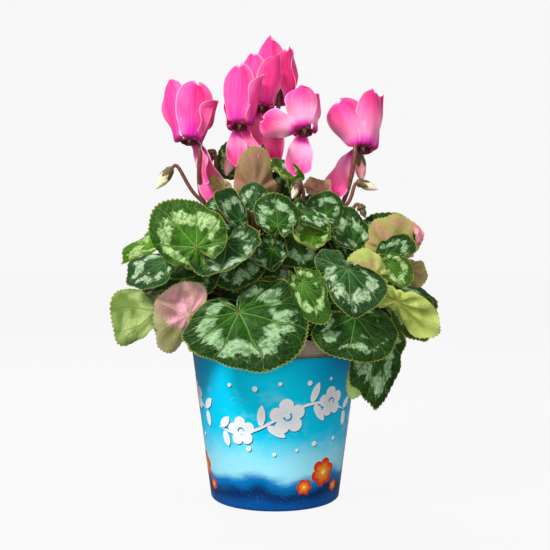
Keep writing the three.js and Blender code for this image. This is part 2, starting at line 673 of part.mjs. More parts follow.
add("cover_pot", coverPot(), "cover");
add("nursery_pot", nurseryPot(), "nursery");
add("soil", soil(), "soil");
add("tuber", tuber(), "tuber");

const front = layClear(FRONT_LEAVES, [], -1);
for (const { leaf, body } of front) add(leaf.name, body, leaf.face[0] > 90 ? "underside" : "leaf");

const blades = front.map(({ body }) => body);
const frontHalf = 180 - CROWN.backHalf - CROWN.split;
const stalkGap = BLADE.thick / 2 + LEAF_STALK.radius * 0.6 + CLEAR;
const inner = layClear(INNER_LEAVES, blades, 1, true);
const frontAndInner = [...front, ...inner].map(({ leaf }) => leaf);
const frontGaps = frontAndInner.map((_, i) => (i < front.length ? stalkGap : 0));
add("leaves_inner", fuse([
  crownSector(0, frontHalf),
  ...leafStalks(frontAndInner, 0, frontHalf, frontGaps),
  ...inner.map(({ body }) => body),
]), "leaf");

const back = layClear(BACK_LEAVES, blades, 1, true);
const backLeaves = back.map(({ leaf }) => leaf);
add("leaves_back", fuse([
  crownSector(180, CROWN.backHalf),
  ...leafStalks(backLeaves, 180, CROWN.backHalf, backLeaves.map(() => 0)),
  ...back.map(({ body }) => body),
]), "leaf");

const flowers = [...BLOOMS, ...BUDS];
const flowerRoots = spreadRoots(flowers.map(({ path }) => vector(path.at(-1))), 0, 180, ROOT.flowerRings);
add("flower_stalks", fuse([
  crownCore(),
  ...flowers.flatMap((flower, i) => (flower.mouth ? flowerStalk : budStalk)(flower, flowerRoots[i])),
  ...BUDS.filter(({ name }) => !name).map(bud),
]), "stalk");
for (const flower of BLOOMS) add(flower.name, bloom(flower), "petal");
for (const flower of BUDS.filter(({ name }) => name)) add(flower.name, bud(flower), "bud");

export default group;
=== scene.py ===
"""The looks of a potted cyclamen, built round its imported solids.

Tables are in millimetres, +Z is up, and the best side faces -Y.
"""
import math

import bpy
import numpy as np
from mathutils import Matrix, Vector
from mathutils.kdtree import KDTree


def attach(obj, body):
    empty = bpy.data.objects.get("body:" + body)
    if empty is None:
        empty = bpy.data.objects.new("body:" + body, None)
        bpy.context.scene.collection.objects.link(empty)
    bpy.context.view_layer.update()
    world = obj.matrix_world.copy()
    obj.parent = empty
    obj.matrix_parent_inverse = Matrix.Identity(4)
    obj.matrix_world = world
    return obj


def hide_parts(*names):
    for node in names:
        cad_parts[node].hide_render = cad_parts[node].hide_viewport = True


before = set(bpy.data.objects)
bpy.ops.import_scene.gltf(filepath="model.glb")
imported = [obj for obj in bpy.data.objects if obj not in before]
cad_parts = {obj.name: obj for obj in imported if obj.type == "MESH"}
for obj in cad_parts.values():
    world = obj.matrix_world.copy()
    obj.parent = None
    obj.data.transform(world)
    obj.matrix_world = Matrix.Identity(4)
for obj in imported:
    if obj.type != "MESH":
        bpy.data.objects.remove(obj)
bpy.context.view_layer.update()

rng = np.random.default_rng(11)
MM = 0.001

# The pots, the soil and the tuber
COVER = {"rim": 67.5, "foot": 52.5, "height": 120, "wall": 1.5, "floor": 2, "round": 3}
NURSERY = {"rim": 61, "collar": 57, "foot": 43, "height": 131, "collar_height": 11, "wall": 1.3, "floor": 1.5}
SOIL_TOP = 126
CLEAR = 0.35
POT_SIDES = {"cover": 160, "nursery": 128, "soil": 96, "tuber": 64}
CRUMBS = 520
# Turned forms as [radius, height]: the tuber, its socket in the soil, and the knob that the flower stalks rise from
TUBER = [
    (0, 106), (9, 106), (14, 106.4), (19.5, 108.6), (23, 111), (26, 115.5), (27, 119), (26.8, 122.5), (25.5, 126),
    (23.5, 129.4), (20, 131.6), (14, 131.9), (8, 132), (0, 132),
]
SOCKET = [(27, 119), (23, 111), (14, 105.6), (0, 105.6)]
KNOB = [(0, 132.1), (7.6, 132.1), (8.3, 133), (7.8, 135.6), (5, 137.3), (0, 137.8)]

# The print on the cover pot: its mean radius, how far its shapes stand out, and how deep their feet sink
PRINT_RADIUS = 60
PRINT_LIFT = 0.16
BLOSSOM_LIFT = PRINT_LIFT + 0.03
VINE_LIFT = PRINT_LIFT - 0.03
SHADE_LIFT = 0.08
VINE_SHADE_LIFT = 0.06
PRINT_SINK = -0.12

# The leaves
OUTLINE = {"centre": 0.48, "point": 0.05, "point_spread": 0.22, "sinus_depth": 0.86}
CAD_SINUS = 0.42
SINUS = 0.26
CAD_RIMS = {"front": 28, "small": 20, "fused": 16}
CAD_TOOTH = 0.05
SMALL_LENGTH = 34
LEAF_RINGS = [
    (0.06, 0.5), (0.15, 0.5), (0.26, 0.5), (0.37, 1), (0.48, 1), (0.59, 1), (0.69, 1), (0.79, 1), (0.88, 1),
    (0.93, 2), (0.97, 2), (1.0, 4),
]
# Teeth: their spacing in front and behind, depth, where they begin, fewest and most pairs
TOOTH = {"front": 1.95, "behind": 3.0, "depth": 0.034, "from": 0.91, "fewest": 16, "most": 60}
# The length of a round blade's edge, in blade lengths
EDGE_LENGTH = 5.6
VEIN_STEP = 2 * math.pi / 9
RELIEF = {"bulge": 0.058, "ruffle": 0.038, "sway": 0.085}
BLADE_HALF = (0.3, 0.2)
ROOT = {
    "leaf_rings": (11.2, 14.2, 17.2), "more_rings": (12.6, 15.8), "flower_rings": (3.2, 6.4), "height": 134.8,
    "margin": 7, "crown_radius": 14.1, "crown_height": 134.2,
}
CROWN_BACK_HALF = 50
CROWN_SPLIT = 2.5
# How far a stalk's end lies from the middle of its blade: half a solid blade, part of the stalk and the clearance
STALK_GAP = 0.45 + 0.84 + CLEAR
FUSED_GAP = 0.3
# A blade is tried at this many places, a millimetre apart, and a rim point counts as this far off at most
MOVES = 45
MISS_LIMIT = 3.0
SHARP_EDGE = math.radians(50)

# The flowers
TUBE = {"length": 8, "mouth": 6.5, "neck": 3.6, "wall": 1.3}
PETAL = {
    "rows": 40, "columns": 12, "foot": 0.38, "widest": 0.7, "flare": 0.15, "seat": 5.8, "first": 112, "half": 0.3,
}
# How much fuller a petal is than its row says, where it stands up and where it hangs
PETAL_FULLER = {"up": 1.24, "down": 1.05}
PETAL_TO_FRONT = -40
CALYX_LENGTH = 4
BUD_RADIUS = 5.0
HOOK = {"side": 8.6, "above": 14, "below": 7}
WIDE_HOOKS = {"bloom_centre_left": 13.5, "bloom_centre": 13, "bloom_centre_right": 13.5}

# Each blade: name, where its stalk meets it, its tip, the way its upper face looks in degrees to the right and
# up, width, curl across, curl along, fold, wave and phase, and for some the way its stalk comes from.
FRONT_LEAVES = [
    ["leaf_top_right_inner", [62, -40, 204], [56, -28, 240], [12, 22], 0.85, 15, 10, 0, 0.05, 2],
    ["leaf_top_olive", [-15, -34, 248], [-17, -28, 283], [178, 10], 0.82, -15, -8, 0, 0.05, 0],
    ["leaf_top_plum", [35, -27, 247], [33, -22, 261], [180, 15], 1.25, -12, 0, 0, 0.05, 0],
    ["leaf_top_right_low", [40, -38, 230], [37, -29, 246], [5, 40], 1.3, 10, 0, 0, 0.05, 0],
    ["leaf_top_curled", [13, -26, 257], [-2, -14, 275], [0, 40], 0.85, -50, 0, 0, 0.08, 0],
    ["leaf_top_sliver", [-39, -27, 250], [-57, -23, 259], [170, 35], 0.7, -10, 0, 0, 0.05, 0],
    ["leaf_top_small", [-15, -34, 235], [-17, -26, 255], [0, 30], 0.95, 20, 0, 0, 0.05, 0],
    ["leaf_right_plum", [106, -26, 187], [122, -18, 180], [165, 10], 0.95, -10, 0, 0, 0.05, 0],
    ["leaf_right_low_green", [104, -40, 160], [114, -46, 130], [35, 15], 1.1, 15, 10, 0, 0.05, 0],
    ["leaf_right_olive", [86, -34, 202], [97, -26, 231], [175, 10], 1.15, -15, -30, 0, 0.06, 0],
    ["leaf_left_pointed", [-89, -46, 210], [-119, -38, 187], [-50, 35], 0.55, 30, 0, 0, 0.05, 0],
    ["leaf_middle_cup", [-2, -56, 203], [-5, -78, 180], [5, 60], 1.05, -35, -20, 0, 0.05, 0],
    ["leaf_right_small", [84, -48, 197], [110, -44, 201], [15, 50], 0.75, 10, 0, 0, 0.05, 0],
    ["leaf_right_bright", [85, -56, 192], [97, -62, 171], [20, 25], 0.85, 20, 0, 0, 0.05, 0],
    ["leaf_upper_left", [-26, -54, 224], [-41, -46, 252], [-12, 20], 0.82, -15, 0, -20, 0.05, 0],
    ["leaf_left_blue", [-82, -64, 193], [-112, -60, 176], [-25, 35], 0.82, 25, 15, 0, 0.05, 0],
    ["leaf_centre_ring", [28, -58, 215], [27, -84, 193], [15, 60], 1.05, -40, -25, 0, 0.05, 0],
    ["leaf_upper_right", [19, -52, 232], [49, -54, 223], [10, 65], 0.8, 40, 0, 0, 0.05, 0],
    ["leaf_left_crescent", [-36, -60, 206], [-42, -90, 180], [-20, 50], 1.25, -25, -15, 0, 0.05, 0],
    ["leaf_left_pale", [-88, -62, 156], [-126, -56, 159], [178, -28], 1.25, -45, -5, 0, 0.06, 0],
    ["leaf_right_lime", [71, -64, 182], [66, -60, 205], [180, 5], 1.3, -25, 0, 0, 0.05, 0],
    ["leaf_upper_middle", [2, -70, 220], [0, -58, 243], [0, 32], 1.12, 15, 10, 0, 0.05, 0, [0, 36, 22]],
    ["leaf_right_hanging_under", [71, -60, 117], [58, -60, 89], [180, 0], 0.55, -10, 0, 0, 0.02, 0],
    ["leaf_right_low_lime", [90, -62, 164], [126, -52, 138], [165, 30], 0.68, -30, 0, 0, 0.05, 0],
    ["leaf_left_pink", [-64, -74, 154], [-91, -70, 165], [178, -10], 1.45, 0, 0, -26, 0.05, 0],
    ["leaf_right_hanging", [77, -74, 135], [67, -76, 84], [25, 8], 0.55, 30, 10, 0, 0.05, 0],
    ["leaf_front_right", [59, -82, 153], [52, -94, 121], [5, 22], 1.45, 20, 18, 0, 0.05, 0],
    ["leaf_right_dark", [53, -84, 193], [55, -100, 153], [8, 22], 1.0, 10, 10, 0, 0.09, 0],
    ["leaf_centre_long", [19, -88, 178], [37, -100, 149], [0, 20], 0.66, 35, 10, 0, 0.05, 0],
    ["leaf_left_large", [-57, -84, 204], [-86, -72, 234], [-14, 20], 1.02, 18, 10, 0, 0.05, 0, [16, 46, 80]],
    ["leaf_front_large", [-26, -92, 157], [-4, -110, 116], [-4, 28], 1.42, 14, 18, 0, 0.05, 0],
]
INNER_LEAVES = [
    ["side", [74, -26, 168], [102, -29, 138], [85, 35], 1.05, 20, 10, 0, 0.05, 2],
    ["side", [-72, -16, 182], [-102, -18, 152], [-85, 35], 1.05, 20, 10, 0, 0.05, 0],
    ["under the front", [0, -70, 163], [-4, -60, 182], [0, 55], 1.3, 10, 0, 0, 0.05, 0],
    ["inner", [-36, -38, 158], [-64, -54, 144], [-25, 45], 1.05, 20, 10, 0, 0.05, 1],
    ["inner", [42, -38, 156], [66, -54, 142], [25, 45], 1.05, 20, 10, 0, 0.05, 2],
    ["inner", [-46, -34, 188], [-66, -46, 160], [-20, 35], 1.1, 15, 10, 0, 0.05, 0],
    ["inner", [-6, -34, 192], [-10, -50, 160], [0, 35], 1.1, 20, 10, 0, 0.05, 1],
    ["inner", [46, -34, 196], [64, -46, 168], [15, 35], 1.1, 20, 10, 0, 0.05, 0],
]
BACK_LEAVES = [
    ["seen past the front", [-33, 18, 268], [-38, 26, 292], [-10, 20], 1.0, 15, 0, 0, 0.05, 1],
    ["low", [70, 26, 172], [104, 34, 140], [108, 35], 1.05, 20, 15, 0, 0.06, 0],
    ["low", [52, 54, 166], [78, 86, 138], [140, 35], 1.05, 20, 10, 0, 0.06, 2],
    ["low", [14, 72, 168], [22, 108, 134], [170, 30], 1.1, 15, 20, 0, 0.06, 1],
    ["low", [-28, 68, 164], [-46, 100, 134], [203, 35], 1.05, 20, 10, 0, 0.06, 3],
    ["low", [-66, 40, 170], [-98, 56, 140], [240, 35], 1.1, 20, 10, 0, 0.06, 0],
    ["middle", [56, 22, 212], [88, 36, 190], [112, 50], 1.0, 20, 10, 0, 0.06, 1],
    ["middle", [28, 48, 210], [42, 80, 188], [152, 45], 1.05, 15, 15, 0, 0.06, 2],
    ["middle", [-14, 52, 214], [-20, 84, 190], [190, 45], 1.05, 20, 10, 0, 0.06, 3],
    ["middle", [-50, 28, 208], [-80, 44, 186], [240, 50], 1.05, 15, 10, 0, 0.06, 0],
    ["top", [26, 22, 244], [44, 44, 232], [140, 55], 1.0, 20, 10, 0, 0.06, 1],
    ["top", [-16, 30, 246], [-26, 56, 232], [200, 55], 1.0, 20, 10, 0, 0.06, 2],
]

# Each bloom: name, middle of the mouth, the way it faces, where its stalk passes the mouth, the stalk's way down,
# petals as [place round the mouth, heading at the tip, length, width, curl, turn] and for some a lean aside.
BLOOMS = [
    ["bloom_left", [-67, -30, 286], [0, -72], 108, [[-57, -12, 240], [-12, 1, 196]],
     [[-74, 8, 55, 23, 35, 0, 1], [14, 8, 48, 25, 32, 6, 3], [84, 17, 39, 25, 40, 46, 4], [114, 166, 34, 19, 25, 0],
      [134, 150, 54, 23, 35, -25]]],
    ["bloom_centre_left", [-28, -27, 298], [0, -67], 180, [[-24, -6, 250], [-12, -3, 200]],
     [[-12, 15, 49, 21, 36, -6, 7], [-125, -2, 44, 19, 35, 0, 4], [62, 10, 47, 21, 42, 74, 5],
      [140, 158, 31, 18, 30, 0], [196, 176, 31, 17, 25, 0]]],
    ["bloom_centre", [-11, 0, 316], [0, -70], 180, [[-8, 3, 262], [-4, 1, 200]],
     [[-48, 7, 49, 20, 38, 0, 7], [24, 17, 44, 20, 42, 44, 7], [110, 2, 44, 20, 35, 0], [150, 168, 44, 20, 30, 0, 8],
      [212, 172, 32, 17, 30, 0]]],
    ["bloom_top", [5, 36, 324], [180, -84], -15, [[3, 4, 284], [1, 3, 210]],
     [[-60, 2, 61, 22, 36, 0, 4], [52, 1, 51, 22, 42, 30, -5], [118, 2, 50, 20, 35, 0, -5], [-128, 6, 50, 21, 35, 0],
      [176, 8, 50, 21, 35, 0]]],
    ["bloom_centre_right", [23, -36, 293], [0, -62], 175, [[18, -1, 246], [8, 0, 196]],
     [[-10, 21, 34, 21, 32, 0, -1], [-82, 70, 29, 20, 30, 68], [88, 2, 38, 18, 50, 20], [196, 178, 36, 22, 25, 0, -8],
      [-130, 0, 42, 21, 35, 0]]],
    ["bloom_right", [71, -10, 282], [-5, -68], -58, [[54, -6, 238], [16, -1, 192]],
     [[-40, 19, 42, 26, 33, 0, -13], [160, -6, 44, 22, 35, 0, -3], [78, 4, 53, 19, 46, 40, 1],
      [252, 154, 45, 22, 30, 58], [14, 15, 48, 20, 40, 20, 1]]],
    ["bloom_low_right", [113, 10, 204], [-14, -70], -90, [[86, 8, 188], [26, 6, 180]],
     [[-20, 10, 20, 15, 35, 0, -12], [40, 4, 18, 11, 35, 0, -12], [150, 6, 18, 13, 35, 0, -6],
      [-150, 10, 19, 14, 35, 0, -6], [-35, 150, 18, 14, 25, 0]]],
]
# Each bud: name, top, tip, top of the stalk's arch, the stalk's way down. One without a name is still brown.
BUDS = [
    ["bud_left", [-84, -20, 264], [-94, -24, 250], [-79, -18, 269], [[-64, -12, 246], [-14, 2, 204]]],
    ["bud_top_left", [-34, 2, 280], [-40, 0, 262], [-31, 4, 284], [[-26, 6, 262], [-10, 4, 215]]],
    ["bud_pink_left", [-55, -2, 260], [-54, -4, 243], [-53, 1, 265], [[-42, -2, 238], [-12, -2, 204]]],
    ["bud_middle", [17, -54, 251], [13, -58, 241], [19, -51, 254], [[22, -44, 244], [8, -9, 200]]],
    ["bud_right", [69, -15, 255], [82, -17, 250], [64, -14, 254], [[59, -12, 240], [20, -4, 200]]],
    ["bud_salmon", [69, 5, 277], [71, 3, 257], [66, 6, 282], [[60, 6, 262], [18, 3, 200]]],
    [None, [-53, 9, 280], [-52, 10, 272], [-50, 9, 283], [[-47, 4, 260], [-13, -4, 205]]],
    [None, [69, -21, 234], [72, -23, 226], [65, -20, 238], [[58, -17, 228], [16, -4, 186]]],
]

UP = np.array([0.0, 0.0, 1.0])


def unit(v):
    return v / np.linalg.norm(v)


def smooth(t):
    t = np.clip(t, 0, 1)
    return t * t * (3 - 2 * t)


def facing(right, up):
    a, e = math.radians(right), math.radians(up)
    return np.array([math.sin(a) * math.cos(e), -math.cos(a) * math.cos(e), math.sin(e)])


def turned_about(v, axis, angle):
    """v turned about a unit axis."""
    return v * math.cos(angle) + np.cross(axis, v) * math.sin(angle) + axis * axis.dot(v) * (1 - math.cos(angle))


# Meshes


def placed(name, data):
    """A new object in the scene."""
    obj = bpy.data.objects.new(name, data)
    bpy.context.scene.collection.objects.link(obj)
    return obj


class Piece:
    """Triangles gathered for one object, in millimetres, with three values at each point for its material."""

    def __init__(self):
        self.points, self.faces, self.looks, self.data, self.kinds, self.count = [], [], [], [], [], 0

    def add(self, points, faces, look=0, data=(0, 0, 0), kind=(0, 0, 0)):
        points = np.asarray(points, float)
        self.points.append(points)
        self.faces.append(np.asarray(faces, int) + self.count)
        self.looks.append(np.broadcast_to(look, len(faces)))
        self.data.append(np.broadcast_to(data, points.shape))
        self.kinds.append(np.broadcast_to(kind, points.shape))
        self.count += len(points)

    def make(self, name, materials, slot, *nodes):
        mesh = bpy.data.meshes.new(name)
        points = np.concatenate(self.points) * MM
        mesh.from_pydata(points.tolist(), [], np.concatenate(self.faces).tolist())
        mesh.polygons.foreach_set("material_index", np.concatenate(self.looks).astype(np.int32))
        mesh.polygons.foreach_set("use_smooth", np.ones(len(mesh.polygons), bool))
        for label, values in (("data", self.data), ("kind", self.kinds)):
            layer = mesh.attributes.new(label, "FLOAT_VECTOR", "POINT")
            layer.data.foreach_set("vector", np.concatenate(values).astype(np.float32).ravel())
        for material in materials:
            mesh.materials.append(material)
        mesh.set_sharp_from_angle(angle=SHARP_EDGE)
        obj = placed(name, mesh)
        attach(obj, "root")
        if nodes:
            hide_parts(*nodes)
        return obj


def point_normals(points, faces):
    a, b, c = (points[faces[:, i]] for i in range(3))
    across = np.cross(b - a, c - a)
    normals = np.zeros_like(points)
    for i in range(3):
        np.add.at(normals, faces[:, i], across)
    return normals / np.maximum(np.linalg.norm(normals, axis=1, keepdims=True), 1e-12)


def add_sheet(piece, middle, faces, border, half, looks, data, kind=(0, 0, 0)):
    """A thin closed sheet round a middle surface, with one look above and one below."""
    middle, faces = np.asarray(middle, float), np.asarray(faces, int)
    normals = point_normals(middle, faces) * np.reshape(half, (-1, 1))
    n = len(middle)
    a = np.asarray(border)
    b = np.roll(a, -1)
    sides = np.concatenate([np.stack([b, a, a + n], 1), np.stack([b, a + n, b + n], 1)])
    below = faces[:, ::-1] + n
    look = np.repeat([looks[0], looks[1], looks[0]], [len(faces), len(below), len(sides)])
    data = np.broadcast_to(data, middle.shape)
    piece.add(np.concatenate([middle + normals, middle - normals]), np.concatenate([faces, below, sides]), look,
              np.concatenate([data, data]), kind)


def side_of(direction):
    return unit(np.cross(direction, np.array([0, 1.0, 0]) if abs(direction[1]) < 0.9 else UP))


def grid_faces(rows, columns, closed=False):
    """Triangles between rows of points, with the last column joined to the first where closed."""
    faces = []
    last = columns if closed else columns - 1
    for row in range(rows - 1):
        for column in range(last):
            i, j = row * columns + column, row * columns + (column + 1) % columns
            faces += [(i, j, i + columns), (j, j + columns, i + columns)]
    return faces


def grid_border(rows, columns):
    """The points round the edge of an open grid, in order."""
    last = columns - 1
    border = list(range(columns)) + [row * columns + last for row in range(1, rows)]
    border += [(rows - 1) * columns + column for column in range(last - 1, -1, -1)]
    return border + [row * columns for row in range(rows - 2, 0, -1)]


def add_tube(piece, path, radii, sides, look=0):
    """A round tube along a path, closed at its ends."""
    path = np.asarray(path, float)
    count = len(path)
    radii = np.broadcast_to(radii, count)
    tangents = np.gradient(path, axis=0)
    tangents /= np.linalg.norm(tangents, axis=1, keepdims=True)
    side = unit(np.cross(tangents[0], UP if abs(tangents[0][2]) < 0.9 else np.array([1.0, 0, 0])))
    points, data = [], []
    for i in range(count):
        side = unit(side - tangents[i] * side.dot(tangents[i]))
        other = np.cross(tangents[i], side)
        for k in range(sides):
            a = 2 * math.pi * k / sides
            points.append(path[i] + radii[i] * (math.cos(a) * side + math.sin(a) * other))
            data.append((i / (count - 1), k / sides, 0))
    faces = grid_faces(count, sides, True)
    points += [path[0] - tangents[0] * radii[0] * 0.3, path[-1] + tangents[-1] * radii[-1] * 0.4]
    data += [(0, 0, 0), (1, 0, 0)]
    first, last = count * sides, count * sides + 1
    for k in range(sides):
        j = (k + 1) % sides
        faces += [(first, j, k), (last, (count - 1) * sides + k, (count - 1) * sides + j)]
    piece.add(points, faces, look, data)


def lathe(piece, profile, sides, point=(0, 0, 0), direction=UP, look=0, shape=None, looks=None):
    """A turned closed form from [radius, height] pairs, with one look or one for each band.

    shape(radius, angle, height) may change each point.
    """
    direction = unit(np.asarray(direction, float))
    side = side_of(direction)
    other = np.cross(direction, side)
    points, data, rings = [], [], len(profile)
    for i, (radius, height) in enumerate(profile):
        for k in range(sides):
            a = 2 * math.pi * k / sides
            r, h = shape(radius, a, height) if shape else (radius, height)
            points.append(np.asarray(point) + r * (math.cos(a) * side + math.sin(a) * other) + h * direction)
            data.append((i / (rings - 1), k / sides, height))
    faces = np.array(grid_faces(rings, sides, True))
    look = np.repeat(looks, 2 * sides) if looks else np.full(len(faces), look)
    points, data = np.array(points), np.array(data)
    for ring, (radius, _) in enumerate(profile):
        if radius > 0:
            continue
        ids = np.arange(ring * sides, (ring + 1) * sides)
        points[ids] = points[ids].mean(0)
        faces[np.isin(faces, ids)] = ids[0]
    keep = (faces[:, 0] != faces[:, 1]) & (faces[:, 1] != faces[:, 2]) & (faces[:, 0] != faces[:, 2])
    faces, look = faces[keep], look[keep]
    used, again = np.unique(faces, return_inverse=True)
    piece.add(points[used], again.reshape(-1, 3), look, data[used])


def rounded(profile):
    """A profile with two points in place of each corner, so that its edges catch the light."""
    out = [profile[0]]
    for i in range(1, len(profile) - 1):
        here = np.array(profile[i], float)
        before, after = np.array(profile[i - 1], float), np.array(profile[i + 1], float)
        cut = min(0.45, np.linalg.norm(here - before) * 0.3, np.linalg.norm(after - here) * 0.3)
        first, last = here + unit(before - here) * cut, here + unit(after - here) * cut
        out += [tuple(first), tuple(first * 0.25 + here * 0.5 + last * 0.25), tuple(last)]
    return out + [profile[-1]]


# Materials, written as arithmetic on node sockets


def colour(r, g, b):
    """A screen colour, 0 to 255, as linear values."""
    parts = [v / 255 for v in (r, g, b)]
    return tuple(p / 12.92 if p <= 0.04045 else ((p + 0.055) / 1.055) ** 2.4 for p in parts) + (1.0,)


class Value:
    def __init__(self, nodes, socket):
        self.nodes, self.socket = nodes, socket

    def __add__(self, other):
        return self.nodes.math("ADD", self, other)

    def __sub__(self, other):
        return self.nodes.math("SUBTRACT", self, other)

    def __rsub__(self, other):
        return self.nodes.math("SUBTRACT", other, self)

    def __mul__(self, other):
        return self.nodes.math("MULTIPLY", self, other)

    def __truediv__(self, other):
        return self.nodes.math("DIVIDE", self, other)

    __radd__, __rmul__ = __add__, __mul__


class Nodes:
    def __init__(self, name, roughness, **sockets):
        self.material = bpy.data.materials.new(name)
        self.material.use_nodes = True
        self.tree = self.material.node_tree
        self.shader = self.tree.nodes["Principled BSDF"]
        self.shader.inputs["Roughness"].default_value = roughness
        for label, value in sockets.items():
            self.shader.inputs[label.replace("_", " ")].default_value = value

    def put(self, value, socket):
        """A link or a plain value for a socket. Three numbers are a screen colour."""
        if isinstance(value, Value):
            self.tree.links.new(value.socket, socket)
        else:
            socket.default_value = colour(*value) if isinstance(value, tuple) else value

    def node(self, kind, inputs, output=0, **settings):
        node = self.tree.nodes.new("ShaderNode" + kind)
        for label, value in settings.items():
            setattr(node, label, value)
        for socket, value in inputs.items():
            self.put(value, node.inputs[socket])
        return Value(self, node.outputs[output])

    def math(self, operation, *values):
        return self.node("Math", dict(enumerate(values)), operation=operation)

    def most(self, a, b):
        return self.math("MAXIMUM", a, b)

    def size(self, a):
        return self.math("ABSOLUTE", a)

    def step(self, low, high, value):
        """0 below low and 1 above high, with a smooth rise."""
        return self.node("MapRange", {0: value, 1: low, 2: high}, interpolation_type="SMOOTHSTEP")

    def mix(self, share, a, b):
        return self.node("Mix", {0: share, 6: a, 7: b}, 2, data_type="RGBA")

    def combine(self, *values):
        return self.node("CombineXYZ", dict(enumerate(values)))

    def split(self, vector):
        node = self.tree.nodes.new("ShaderNodeSeparateXYZ")
        self.put(vector, node.inputs[0])
        return [Value(self, socket) for socket in node.outputs]

    def read(self, name):
        return self.split(self.node("Attribute", {}, "Vector", attribute_name=name))

    def place(self):
        return [way * (1 / MM) for way in self.split(self.node("TexCoord", {}, "Object"))]

    def noise(self, vector, scale, detail=3.0, roughness=0.5):
        return self.node("TexNoise", {"Vector": vector, "Scale": scale, "Detail": detail, "Roughness": roughness})

    def cells(self, vector, scale):
        return self.node("TexVoronoi", {"Vector": vector, "Scale": scale}, feature="DISTANCE_TO_EDGE")

    def finish(self, base, bump=None, depth=0.0004, strength=0.5, roughness=None):
        self.put(base, self.shader.inputs["Base Color"])
        if roughness is not None:
            self.put(roughness, self.shader.inputs["Roughness"])
        if bump is not None:
            normal = self.node("Bump", {"Strength": strength, "Distance": depth, "Height": bump}, "Normal")
            self.put(normal, self.shader.inputs["Normal"])
        return self.material


def veins_of(n):
    """Veins that run out from the stalk and fork, rungs between them, and a fine net."""
    x, y, rim = n.read("data")
    seed, amount, tint = n.read("kind")
    flat = n.combine(x, y, seed)
    r = n.math("SQRT", x * x + y * y)
    wobble = (n.noise(flat, 2.4, 2) - 0.5) * rim
    k = (n.math("ARCTAN2", x, y) + wobble * 0.35) / VEIN_STEP
    m = n.size(k - n.math("ROUND", k))
    width = 0.021 - rim * 0.0145
    main = 1 - n.step(width * 0.3, width * 1.15, m * r * VEIN_STEP)
    forks = n.size(m - (rim - 0.4) * 0.66)
    fork = (1 - n.step(width * 0.2, width * 0.95, forks * r * VEIN_STEP)) * n.step(0.4, 0.5, rim)
    rung = rim * 6.5 - m * 4 + wobble * 4
    rungs = (1 - n.step(0.02, 0.11, n.size(rung - n.math("ROUND", rung)))) * n.step(0.15, 0.3, rim)
    net = 1 - n.step(0.02, 0.09, n.cells(flat, 8.5))
    return {
        "x": x, "y": y, "rim": rim, "r": r, "m": m, "k": k, "seed": seed, "amount": amount, "tint": tint, "flat": flat,
        "lane": 1 - n.step(width * 0.8, width * 4.4, m * r * VEIN_STEP),
        "vein": n.most(main, fork * 0.75), "fine": n.most(rungs * 0.8, net * 0.55),
    }


MARGIN = (150, 160, 70)


def leaf_upper(name, dark, centre, silver, vein):
    n = Nodes(name, 0.42, Specular_IOR_Level=0.09)
    v = veins_of(n)
    rim, seed, flat = v["rim"], v["seed"], v["flat"]
    feather = n.noise(n.combine(v["k"] * 1.9, rim * 1.4, seed), 2.4, 7, 0.75)
    flakes = n.noise(flat, 11, 4, 0.7)
    blotch = n.noise(n.combine(v["x"], v["y"], seed + 3.7), 1.5, 2)
    patches = n.noise(n.combine(v["x"], v["y"], seed + 9.1), 2.3, 3)
    outer = 0.74 + (feather - 0.5) * 0.8 + (blotch - 0.5) * 0.45
    inner = 0.53 - v["m"] * 0.26 + (blotch - 0.5) * 0.5 + (flakes - 0.5) * 0.16
    band = n.step(inner - 0.03, inner + 0.08, rim) * (1 - n.step(outer - 0.02, outer + 0.04, rim))
    band = band * n.step(0.44, 0.53, patches + (v["amount"] - 0.5) * 0.32)
    band = band * (1 - v["lane"] * 0.8) * (1 - n.step(0.5, 0.6, flakes) * 0.4)
    shade = n.step(0.05, 0.75, rim + (blotch - 0.5) * 0.8)
    base = n.mix(shade, centre, dark)
    base = n.mix(n.step(0.42, 0.62, flakes) * 0.45, base, tuple(c * 0.6 for c in dark))
    worn = (silver[0] * 0.72, silver[1] * 0.84, silver[2] * 0.74)
    pale = n.mix(n.step(0.4, 0.62, flakes), silver, worn)
    base = n.mix(band * 0.92, base, pale)
    base = n.mix(v["vein"] * 0.5, base, vein)
    base = n.mix(v["fine"] * (0.14 + band * 0.14), base, vein)
    base = n.mix(v["tint"], base, (132, 160, 48))
    base = n.mix(n.step(0.968, 0.992, rim) * 0.8, base, MARGIN)
    base = n.mix((1 - n.step(0.02, 0.055, v["r"])) * 0.8, base, (110, 60, 48))
    bump = flakes * 0.25 - v["vein"] * 0.9 - v["fine"] * 0.22
    return n.finish(base, bump, 0.0009, 0.75, 0.3 + band * 0.2 + flakes * 0.14)


def leaf_under(name, main, second, vein, side=None):
    n = Nodes(name, 0.55, Specular_IOR_Level=0.15)
    v = veins_of(n)
    rim, flat = v["rim"], v["flat"]
    patch = n.noise(flat, 2.1, 3)
    grain = n.noise(flat, 14, 3, 0.7)
    base = n.mix(n.step(0.4, 0.6, patch), main, second)
    # Partly painted shade: one half of the blade takes the side colour, a darker green for the half of a folded blade
    # that lies in shadow.
    if side:
        base = n.mix(n.step(0.25, 0.5, v["x"] + (patch - 0.5) * 0.7), base, side)
    base = n.mix(n.step(0.4, 0.65, grain) * 0.3, base, tuple(c * 0.66 for c in main))
    base = n.mix(n.step(0.6, 1.0, rim + (patch - 0.5) * 0.7) * 0.55, base, vein)
    base = n.mix(v["vein"] * 0.6, base, vein)
    base = n.mix(v["fine"] * 0.22, base, vein)
    base = n.mix(n.step(0.965, 0.992, rim) * 0.7, base, MARGIN)
    return n.finish(base, v["vein"] * 0.9 + v["fine"] * 0.3 + grain * 0.2, 0.0007, 0.6, 0.5 + grain * 0.12)
